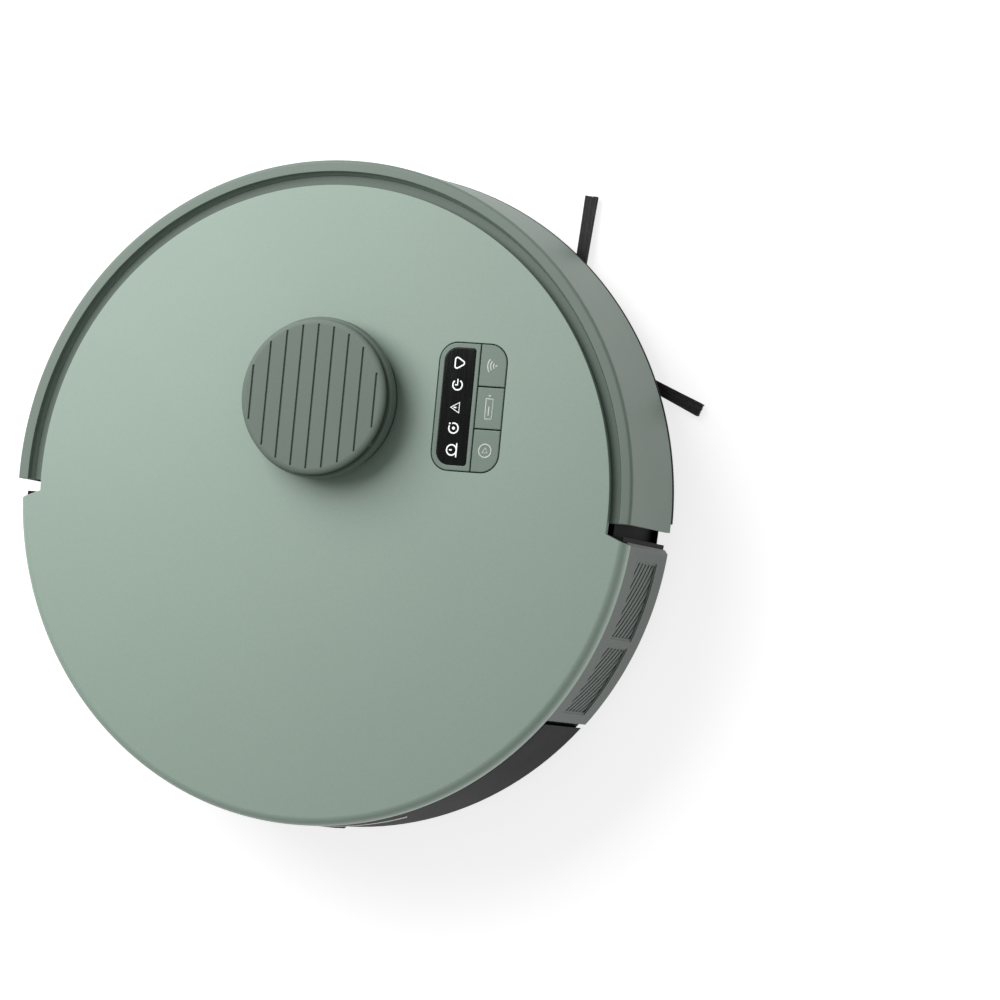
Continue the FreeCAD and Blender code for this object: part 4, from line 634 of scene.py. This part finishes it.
def makeTurret():
    t = turret
    centre = (0, turretY, 0)
    inner = t["neck"] - t["neckWall"]
    brow = arc(t["round"], 0, 90, 5, (t["flange"] - t["round"], t["flangeTop"] - t["round"]))
    ring = spinPiece("turret_ring_shell", [
        (inner, t["low"]), (t["neck"], t["low"]), (t["neck"], t["flangeLow"]), (t["flange"], t["flangeLow"]),
        *brow, (inner, t["flangeTop"])], centre)
    softenEdges(ring, 0.35)
    posts = []
    for number in range(3):
        turn = math.radians(t["postTurn"] + 120 * number)
        spot = (t["postCircle"] * math.cos(turn), turretY + t["postCircle"] * math.sin(turn))
        post = rod("turret_post", t["post"], t["flangeTop"] - 0.5, t["capLow"] + 0.2, spot, sides=24)
        softenEdges(post, 0.2, 2)
        posts.append(post)
    settle(joinAll("turret_ring_shell", [ring, *posts]), "base", turretAbs, "turret_shell", "turret_ring")
    brow = [(t["cap"] - t["border"] * (1 - x), t["capTop"] - t["drop"] * (1 - y))
            for x, y in arc(1, 0, 90, 10)]
    cap = spinPiece("turret_cap_shell", [(0, t["capLow"]), (t["cap"], t["capLow"]), *brow,
                                         (0, t["capTop"])], centre)
    half = t["grooveWide"] / 2
    for number in range(t["grooves"]):
        across = (number - (t["grooves"] - 1) / 2) * t["pitch"]
        reach = math.sqrt(t["grooveEnd"] ** 2 - across ** 2)
        groove = slab("groove", (across - half, turretY - reach, t["capTop"] - t["grooveDeep"]),
                      (across + half, turretY + reach, t["capTop"] + 1))
        carve(cap, groove)
    softenEdges(cap, 0.18, 2, 40)
    settle(cap, "base", turretAbs, "turret_shell", "turret_cap")


makeTurret()
print("turret made")


# control panel: a bezel round a dark lens, three keys, and the marks on both

lens = {"left": 64.0, "right": 80.9, "rear": 19.2, "front": 79.8, "corner": 7.2, "smallCorner": 1.6,
        "proud": 0.35, "margin": 0.1, "deep": 1.7, "iconX": 72.3, "iconLine": 0.75,
        "iconY": (72.0, 60.6, 48.9, 38.2, 26.9)}
keys = {"left": 83.8, "splits": (60.6, 38.7), "gap": 0.6, "markX": 90.9, "markLine": 1.0, "low": 75.0,
        "stem": 2.0, "stemLow": 67.4}


def placed(points, x, y):
    # marks are drawn upright with their top towards the robot's left, then moved to their place
    return [(x - rise, y + across) for across, rise in points]


def iconStrokes(x, y, number):
    # five plain signs: a filter drop, a clock, a warning, a dust ring and a fault ring
    drop = (arc(1.1, 210, 330, 5, (0, -1.6)) + arc(1.1, -30, 90, 5, (1.7, 1.3))
            + arc(1.1, 90, 210, 5, (-1.7, 1.3)))
    triangle = [(-2.7, -2.1), (0, 2.6), (2.7, -2.1)]
    mark, dot = [(0, 1.0), (0, -0.5)], [(0, -1.3), (0, -1.35)]
    core, speck = arc(0.5, 0, 360, 8)[:-1], arc(0.2, 0, 360, 6, (2.3, 2.2))[:-1]
    ring, foot = arc(2.7, 0, 360, 24)[:-1], [(-3.6, -2.7), (3.6, -2.7)]
    signs = [
        [(drop, True)],
        [(arc(2.6, 40, 330, 20), False), ([(0, 1.4), (0, 0), (3.1, 0)], False)],
        [(triangle, True), (mark, False), (dot, False)],
        [(arc(2.6, 60, 380, 22), False), (core, True), (speck, True)],
        [(ring, True), ([(0, 1.3), (0, -0.2)], False), (foot, False)]]
    return [(placed(points, x, y), closed) for points, closed in signs[number]]


def keyStrokes(x, y, number):
    # signal arcs, a battery with its charge bar, and a play sign in a ring
    waves = [(arc(radius, 50, 130, 10, (0, -2.4)), False) for radius in (2.0, 3.6, 5.2)]
    cell = [([(-5.6, -1.9), (4.8, -1.9), (4.8, 1.9), (-5.6, 1.9)], True), ([(6.3, -0.8), (6.3, 0.8)], False),
            ([(-3.9, 0), (0.9, 0)], False)]
    play = [(arc(3.4, 0, 360, 28)[:-1], True), ([(-1.0, -1.5), (1.6, 0), (-1.0, 1.5)], True)]
    signs = [[*waves, (arc(0.3, 0, 360, 6, (0, -2.1))[:-1], True)], cell, play]
    return [(placed(points, x, y), closed) for points, closed in signs[number]]


def makePanel():
    p, n, k = panel, lens, keys
    surface = cover["top"] + p["proud"]
    under = cover["top"] - cover["thick"]
    splitX = k["left"] - k["gap"] / 2
    bezel = prism("panel_bezel_frame", roundedBox(p["left"], splitX - k["gap"] / 2, p["rear"], p["front"],
                                                  [0, p["round"], p["round"], 0]), under, surface)
    corners = [n["smallCorner"], n["corner"], n["corner"], n["smallCorner"]]
    margin = n["margin"]
    well = roundedBox(n["left"] - margin, n["right"] + margin, n["rear"] - margin, n["front"] + margin,
                      corners)
    carve(bezel, prism("lens_well", well, surface - n["deep"] - n["proud"], surface + 1))
    softenEdges(bezel, 0.3)
    settle(bezel, "base", keyAbs, "key_shell", "panel_bezel")
    top = surface + n["proud"] - 0.3
    glass = prism("display_glass", roundedBox(n["left"], n["right"], n["rear"], n["front"], corners, 14),
                  surface - n["deep"], top)
    softenEdges(glass, 0.35, 4)
    settle(glass, "base", blackPmma, "black_gloss", "display_lens")
    strokes = []
    for number, y in enumerate(n["iconY"]):
        strokes += [inkStroke(points, n["iconLine"], top, closed)
                    for points, closed in iconStrokes(n["iconX"], y, number)]
    settle(joinAll("display_signs", strokes), "base", litSegment, "black_gloss")
    levels = [p["front"], *k["splits"], p["rear"]]
    bodies = ("key_front", "key_middle", "key_rear")
    for number, (front, rear, body) in enumerate(zip(levels, levels[1:], bodies)):
        high = front - (k["gap"] / 2 if number else 0)
        low = rear + (k["gap"] / 2 if number < 2 else 0)
        frontRound = p["round"] if number == 0 else 0
        rearRound = p["round"] if number == 2 else 0
        face = roundedBox(k["left"], p["right"], low, high, [frontRound, 0, 0, rearRound])
        key = prism(body + "_cap", face, k["low"], surface)
        softenEdges(key, 0.4, 4)
        stem = rod("stem", k["stem"], k["stemLow"], k["low"] + 0.3,
                   ((k["left"] + p["right"]) / 2, (rear + front) / 2), sides=24)
        softenEdges(stem, 0.2, 2)
        node = body.replace("key", "button")
        settle(joinAll(body + "_cap", [key, stem]), body, keyAbs, "key_shell", node)
        marks = [inkStroke(points, k["markLine"], surface, closed)
                 for points, closed in keyStrokes(k["markX"], (rear + front) / 2, number)]
        settle(joinAll(body + "_mark", marks), body, printInk, "key_shell")


makePanel()
print("control panel made")


# side brush: a clipped hub with three arms, and a flared bundle of filaments in each

brush = {"x": 103.8, "y": 93.4, "hub": 9.5, "low": 3.2, "high": 9.2, "shaft": 3.0, "shaftTop": 25.0,
         "arms": ((87.0, 77.2), (-23.0, 82.4), (-148.0, 80.0)), "root": 9.0, "rootWide": 5.8, "tipWide": 7.2,
         "rootZ": 6.2, "tipZ": 3.0, "thick": 2.5, "rows": 5, "columns": 30, "hair": 0.46, "sleeve": 17.0}


def makeBundle(bearing, reach):
    b = brush
    curve = bpy.data.curves.new("side_brush_hair", "CURVE")
    curve.dimensions = "3D"
    curve.bevel_depth = b["hair"] / 2 * mm
    curve.bevel_resolution = 0
    curve.use_fill_caps = True
    turn = (Matrix.Translation((b["x"] * mm, b["y"] * mm, 0))
            @ Matrix.Rotation(math.radians(bearing), 4, "Z"))
    for number in range(b["rows"] * b["columns"]):
        # filaments are packed in rows, a little off their places, and cut to almost one length
        across = 2 * (number % b["columns"]) / (b["columns"] - 1) - 1 + random.uniform(-0.03, 0.03)
        rise = 2 * (number // b["columns"]) / (b["rows"] - 1) - 1
        end = reach - random.random() ** 2 * 1.1
        sway, spread = random.gauss(0, 0.12), across + random.gauss(0, 0.03)
        spline = curve.splines.new("POLY")
        spline.points.add(5)
        for step, knot in enumerate(spline.points):
            t = step / 5
            flare = t ** 2.2
            wide = b["rootWide"] * 0.5 + (b["tipWide"] - b["rootWide"]) * 0.5 * flare
            x = b["root"] + (end - b["root"]) * t
            y = max(-1, min(1, spread)) * (wide - 0.3) + sway * flare
            z = b["rootZ"] + (b["tipZ"] - b["rootZ"]) * t + rise * (b["thick"] / 2 - 0.1)
            knot.co = (*(turn @ Vector((x * mm, y * mm, z * mm))), 1)
            knot.radius = 1.0 - 0.25 * t
    bundle = bpy.data.objects.new("side_brush_hair", curve)
    scene.collection.objects.link(bundle)
    takeUp(bundle)
    bpy.ops.object.convert(target="MESH")
    return bpy.context.object


def makeSideBrush():
    b = brush
    centre = (b["x"], b["y"], 0)
    crown = arc(1.2, 0, 90, 5, (b["hub"] - 1.2, b["high"] - 1.2))
    hub = spinPiece("side_brush_hub_shell", [
        (0, b["low"]), (b["hub"] - 1.5, b["low"]), (b["hub"], b["low"] + 1.5), *crown,
        (b["shaft"], b["high"]), (b["shaft"], b["shaftTop"]), (0, b["shaftTop"])], centre, steps=64)
    parts = [hub]
    for bearing, _ in b["arms"]:
        arm = slab("arm", (b["hub"] - 2, -b["rootWide"] / 2 - 0.1, b["rootZ"] - b["thick"] / 2 - 0.1),
                   (b["sleeve"], b["rootWide"] / 2 + 0.1, b["rootZ"] + b["thick"] / 2 + 0.1))
        arm.data.transform(Matrix.Translation((b["x"] * mm, b["y"] * mm, 0))
                           @ Matrix.Rotation(math.radians(bearing), 4, "Z"))
        softenEdges(arm, 0.6, 3)
        parts.append(arm)
    softenEdges(hub, 0.3, 2)
    settle(joinAll("side_brush_hub_shell", parts), "side_brush", blackAbs, "black_shell", "side_brush_hub")
    bundles = [makeBundle(bearing, reach) for bearing, reach in b["arms"]]
    for bundle in bundles:
        takeUp(bundle)
        bpy.ops.object.shade_smooth()
    settle(joinAll("side_brush_filaments", bundles), "side_brush", nylonHair, "bristle",
           "side_brush_bristles")


makeSideBrush()
print("side brush made")


# dustbin: the pull-out bin shows as the black rear wall and a latch, with a bright metal strip across the
# rear wall that is a painted highlight, standing for light caught on the top rim of the rear port

portRimHighlight = {"outer": 173.0, "inner": 171.9, "low": 50.0, "high": 52.6, "sweep": 19.0}


def makeDustbin():
    for node, body in (("dustbin_body", "dustbin"), ("dustbin_lid", "dustbin"), ("dustbin_latch", "latch"),
                       ("filter_frame", "dustbin"), ("dustbin_flap", "flap")):
        material = greyPom if node == "filter_frame" else rubber if node == "dustbin_flap" else blackAbs
        settle(refined(node, 0.4), body, material, slotOf[node], node)
    g = portRimHighlight
    # painted highlight: this bright metal strip stands where light catches the upper rim of the bin's rear
    # port
    strip = sector("dustbin_port_rim_highlight_strip", g["outer"], g["inner"], g["low"], g["high"], -90 - g["sweep"],
                   -90 + g["sweep"], 40)
    softenEdges(strip, 0.35, 3)
    settle(strip, "dustbin", nickelAndRimHighlight, "contact_plate", "dustbin_grip")


makeDustbin()
print("dustbin made")


# wheels: a dished hub with ribs, and a tyre with chevron lugs

wheel = {"x": 115.0, "y": 0.0, "z": 35.0, "radius": 35.0, "wide": 20.0, "hub": 27.0, "base": 33.6,
         "lugs": 26,
         "lugWide": 2.4, "lugLean": 24.0, "spokes": 6, "axle": 2.9, "axleIn": 92, "axleOut": 106.5}


def makeTyre():
    w = wheel
    half = w["wide"] / 2
    centre = (w["x"], w["y"], w["z"])
    band = spinPiece("tyre", [(w["hub"], -half), (w["base"] - 1.2, -half), (w["base"], -half + 1.2),
                              (w["base"], half - 1.2), (w["base"] - 1.2, half), (w["hub"], half)],
                     centre, axis="X", steps=96)
    softenEdges(band, 0.4, 2)
    parts = [band]
    for lean, low, high in ((w["lugLean"], -half + 0.4, 0.6), (-w["lugLean"], -0.6, half - 0.4)):
        lug = slab("lug", (low, -w["lugWide"] / 2, w["base"] - 0.8),
                   (high, w["lugWide"] / 2, w["radius"] - 0.12))
        softenEdges(lug, 0.45, 2)
        middle = Vector(((low + high) / 2, 0, 0)) * mm
        lug.data.transform(Matrix.Translation(middle) @ Matrix.Rotation(math.radians(lean), 4, "Z")
                           @ Matrix.Translation(-middle))
        lug.data.transform(Matrix.Translation(Vector(centre) * mm))
        parts += [copyOf(lug, about(centre, 360 * number / w["lugs"], "X")) for number in range(w["lugs"])]
        bpy.data.objects.remove(lug)
    return joinAll("tyre_treaded", parts)


def makeHub():
    w = wheel
    centre = (w["x"], w["y"], w["z"])
    # (radius, place along the axle): the inner face, the rim, the dished outer face and the boss
    hub = spinPiece("hub", [
        (0, -9), (26.9, -9), (26.9, 9), (23, 9), (23, 4), (21, 0.6), (8.5, 0.6), (7.5, 3), (7.5, 8.6),
        (3.4, 8.6), (3.0, 7.4), (0, 7.4)], centre, axis="X", steps=96)
    parts = [hub]
    for number in range(w["spokes"]):
        rib = slab("rib", (w["x"] - 1, -1.1, w["z"] + 7), (w["x"] + 6.4, 1.1, w["z"] + 23.4))
        softenEdges(rib, 0.5, 2)
        parts.append(copyOf(rib, about(centre, 360 * number / w["spokes"], "X")))
        bpy.data.objects.remove(rib)
    softenEdges(hub, 0.4, 2)
    parts.append(rod("axle", w["axle"], w["axleIn"], w["axleOut"], (0, w["z"]), "X", 32))
    return joinAll("hub_ribbed", parts)


rightTyre, rightHub = makeTyre(), makeHub()
mirrorX = Matrix.Diagonal((-1, 1, 1, 1))
leftTyre, leftHub = copyOf(rightTyre, mirrorX), copyOf(rightHub, mirrorX)
for piece, hand in ((rightTyre, "right"), (leftTyre, "left")):
    piece.name = "tyre_treaded_" + hand
    settle(piece, "wheel_" + hand[0], rubber, "soft_rubber", "tyre_" + hand)
for piece, hand in ((rightHub, "right"), (leftHub, "left")):
    piece.name = "wheel_hub_ribbed_" + hand
    settle(piece, "wheel_" + hand[0], greyPom, "grey_plastic", "wheel_hub_" + hand)
print("wheels made")


# main brush: a slotted core with two rubber vanes and two rows of tufts

roller = {"y": -62.0, "z": 21.5, "reach": 20.3, "vaneHalf": 75.4, "vaneThick": 1.6, "vaneRoot": 7.7,
          "ribs": 19, "ribPitch": 8, "ribWide": 1.0, "tuftSpan": 148, "tufts": 34, "hairs": 9, "hair": 0.44}


def makeMainBrush():
    r = roller
    centre = (0, r["y"], r["z"])
    # a journal at the left end, the body with chamfered ends, and a drive stub at the right end
    core = spinPiece("brush_core", [
        (0, -86), (3.9, -86), (3.9, -77), (8.0, -77), (9.0, -76), (9.0, 76), (8.0, 77), (4.0, 77),
        (4.0, 80.8), (0, 80.8)], centre, axis="X", steps=64)
    for number in range(4):
        channel = slab("channel", (-80, r["y"] - 1.0, r["z"] + 7.6), (80, r["y"] + 1.0, r["z"] + 12))
        channel.data.transform(about(centre, 45 + 90 * number, "X"))
        carve(core, channel)
    softenEdges(core, 0.3, 2)
    settle(core, "main_brush", blackAbs, "black_shell", "main_brush_roller")
    vanes = []
    for number in (0, 2):
        vane = slab("vane", (-r["vaneHalf"], r["y"] - r["vaneThick"] / 2, r["z"] + r["vaneRoot"]),
                    (r["vaneHalf"], r["y"] + r["vaneThick"] / 2, r["z"] + r["reach"] - 0.1))
        chamferEdges(vane, lambda spot: spot.z > r["z"] + r["reach"] - 0.2 and abs(spot.x) > 70, 0.3)
        vane.data.transform(about(centre, 45 + 90 * number, "X"))
        softenEdges(vane, 0.3, 2)
        vanes.append(vane)
        for step in range(-(r["ribs"] // 2), r["ribs"] // 2 + 1):
            along = step * r["ribPitch"]
            rib = slab("vane_rib", (along - r["ribWide"] / 2, r["y"] - 0.79, r["z"] + 9),
                       (along + r["ribWide"] / 2, r["y"] + 0.79, r["z"] + 19.4))
            rib.data.transform(about(centre, 45 + 90 * number, "X"))
            vanes.append(rib)
    settle(joinAll("brush_rubber_vanes", vanes), "main_brush", rubber, "bristle", "main_brush_strips")
    curve = bpy.data.curves.new("brush_tufts", "CURVE")
    curve.dimensions = "3D"
    curve.bevel_depth = r["hair"] / 2 * mm
    curve.bevel_resolution = 0
    for number in (1, 3):
        turn = about(centre, 45 + 90 * number, "X")
        for tuft in range(r["tufts"]):
            x0 = -r["tuftSpan"] / 2 + r["tuftSpan"] * tuft / (r["tufts"] - 1)
            for hair in range(r["hairs"]):
                spline = curve.splines.new("POLY")
                spline.points.add(2)
                dx, dy = random.uniform(-1.0, 1.0), random.uniform(-0.45, 0.45)
                top = r["reach"] - 0.15 - random.random() * 0.5
                for knot, (share, rise) in zip(spline.points, ((0.5, 8.0), (0.9, 14.0), (1.7, top))):
                    across = max(-0.7, min(0.7, dy * share))
                    spot = Vector((x0 + dx * share, r["y"] + across, r["z"] + rise)) * mm
                    knot.co = (*(turn @ spot), 1)
    tufts = bpy.data.objects.new("brush_tufts", curve)
    scene.collection.objects.link(tufts)
    takeUp(tufts)
    bpy.ops.object.convert(target="MESH")
    tufts = bpy.context.object
    bpy.ops.object.shade_smooth()
    settle(tufts, "main_brush", nylonHair, "bristle", "main_brush_strips")


makeMainBrush()
print("main brush made")


# caster: a rubber wheel with a rounded, grooved rim in its fork

caster = {"y": 124.0, "z": 13.0, "radius": 13.0, "half": 7.0, "bore": 1.55}


def makeCaster():
    c = caster
    centre = (0, c["y"], c["z"])
    left = arc(2.4, -90, 0, 5, (c["radius"] - 2.4, -c["half"] + 2.4))
    right = [(radius, -along) for radius, along in reversed(left)]
    profile = [(c["bore"], -c["half"] + 1.2), (5.0, -c["half"] + 1.2), (6.0, -c["half"]), *left,
               (c["radius"], -0.8), (c["radius"] - 0.7, -0.5), (c["radius"] - 0.7, 0.5), (c["radius"], 0.8),
               *right, (6.0, c["half"]), (5.0, c["half"] - 1.2), (c["bore"], c["half"] - 1.2)]
    tread = spinPiece("caster_wheel_grooved", profile, centre, axis="X", steps=64)
    softenEdges(tread, 0)
    settle(tread, "caster_wheel_body", rubber, "soft_rubber", "caster_wheel")
    settle(refined("caster_fork", 0.4), "caster_swivel_body", greyPom, slotOf["caster_fork"], "caster_fork")
    settle(refined("caster_axle", 0.3), "caster_swivel_body", zincSteel, slotOf["caster_axle"],
           "caster_axle")


makeCaster()
print("caster made")


# case screws: pan heads with a cross recess, and a threaded shank in its boss

screwPlaces = [(sign * x, y) for sign in (1, -1) for x, y in ((148, -40), (138, 42), (55, 130))]
screw = {"head": 3.0, "low": 10.2, "tall": 1.8, "shank": 1.35, "long": 20.0, "slot": 0.7, "slotLong": 3.6,
         "slotDeep": 1.1, "thread": 1.1}


def makeScrews():
    s = screw
    top = s["low"] + s["tall"]
    threads = []
    count = int((s["long"] - 4) / s["thread"])
    for step in range(count):
        z = top + 1.4 + step * s["thread"]
        threads += [(s["shank"] - 0.25, z), (1.5, z + s["thread"] / 2)]
    profile = [(0, s["low"]), (s["head"] - 0.7, s["low"]), (s["head"], s["low"] + 0.7), (s["head"], top),
               (s["shank"], top), (s["shank"], top + 1.0), *threads, (0.2, s["low"] + s["long"]),
               (0, s["low"] + s["long"])]
    first = spinPiece("case_screw", profile, steps=20)
    for turn in (0, 90):
        bar = slab("cross", (-s["slotLong"] / 2, -s["slot"] / 2, s["low"] - 1),
                   (s["slotLong"] / 2, s["slot"] / 2, s["low"] + s["slotDeep"]))
        bar.data.transform(Matrix.Rotation(math.radians(turn), 4, "Z"))
        carve(first, bar)
    softenEdges(first, 0.06, 1)
    screws = [copyOf(first, Matrix.Translation((x * mm, y * mm, 0)) @ Matrix.Rotation(number * 0.7, 4, "Z"))
              for number, (x, y) in enumerate(screwPlaces)]
    bpy.data.objects.remove(first)
    settle(joinAll("case_screws_cross", screws), "base", zincSteel, slotOf["case_screws"], "case_screws")


makeScrews()
print("screws made")


# pieces whose own CAD shape is right: joined, rounded and finished

def finishOthers():
    rounding = {"brush_guard": 0.5, "battery_door": 0.4, "chassis_base": 0.25, "drive_arm_right": 0.6,
                "drive_arm_left": 0.6, "impeller": 0.3, "blower_motor": 0.4, "side_brush_gearbox": 0.6,
                "laser_motor": 0.4, "laser_rotor": 0.4, "panel_tray": 0.4, "charge_contacts": 0.3,
                "cliff_windows": 0.3, "battery_pack": 1.2, "drive_motor_left": 0.6, "drive_motor_right": 0.6}
    bodies = frame["record"]["behaviour"]["bodies"]
    bodyOf = {node: body for body, members in bodies.items() for node in members}
    for node, width in rounding.items():
        slotName = slotOf[node]
        settle(refined(node, width), bodyOf[node], slotFinish[slotName], slotName, node)


finishOthers()
print("other pieces finished")


# stage, light and camera

view = {"bearing": -7.39, "elevation": 68.2, "roll": -77.72, "distance": 2.6014,
        "target": (0.0869, 0.0050, 0.0400), "lens": 180.0}


def makeStage():
    deselect()
    bpy.ops.mesh.primitive_plane_add(size=8)
    floor = startPiece("studio_floor")
    material, tree, shader, place = newMaterial("studio_paper", {
        "Specular IOR Level": 0.1, "Emission Strength": 0.76, "Emission Color": (1, 1, 1, 1)})
    cloud = addNode(tree, "ShaderNodeTexNoise", {"Scale": 3.0}, {"Vector": place})
    greys = {"Color1": toLinear("#C6C6C6"), "Color2": toLinear("#CACACA")}
    colour = addNode(tree, "ShaderNodeMixRGB", greys, {"Fac": cloud.outputs["Fac"]})
    tree.links.new(colour.outputs[0], shader["Base Color"])
    shader["Roughness"].default_value = 0.9
    floor.data.materials.append(material)
    world = bpy.data.worlds.new("studio_air")
    world.use_nodes = True
    world.node_tree.nodes["Background"].inputs["Strength"].default_value = 0.28
    world.node_tree.nodes["Background"].inputs["Color"].default_value = (1, 1, 1, 1)
    scene.world = world


def addLight(name, place, aim, size, power):
    lamp = bpy.data.lights.new(name, "AREA")
    lamp.size = size
    lamp.energy = power
    light = bpy.data.objects.new(name, lamp)
    light.location = place
    light.rotation_euler = (Vector(aim) - Vector(place)).to_track_quat("-Z", "Y").to_euler()
    scene.collection.objects.link(light)


def makeCamera():
    v = view
    bearing, elevation = math.radians(v["bearing"]), math.radians(v["elevation"])
    back = Vector((math.cos(bearing) * math.cos(elevation), math.sin(bearing) * math.cos(elevation),
                   math.sin(elevation)))
    data = bpy.data.cameras.new("studio_camera")
    data.lens = v["lens"]
    data.sensor_width = 36.0
    data.clip_end = 30.0
    camera = bpy.data.objects.new("studio_camera", data)
    camera.location = Vector(v["target"]) + back * v["distance"]
    level = (-back).to_track_quat("-Z", "Y").to_matrix()
    camera.rotation_euler = (level @ Matrix.Rotation(math.radians(v["roll"]), 3, "Z")).to_euler()
    scene.collection.objects.link(camera)
    scene.camera = camera


makeStage()
addLight("key_light", (-0.45, 0.45, 0.69), (0, 0, 0.05), 0.8, 8.6)
makeCamera()
scene.view_settings.view_transform = "Standard"
print("stage made")
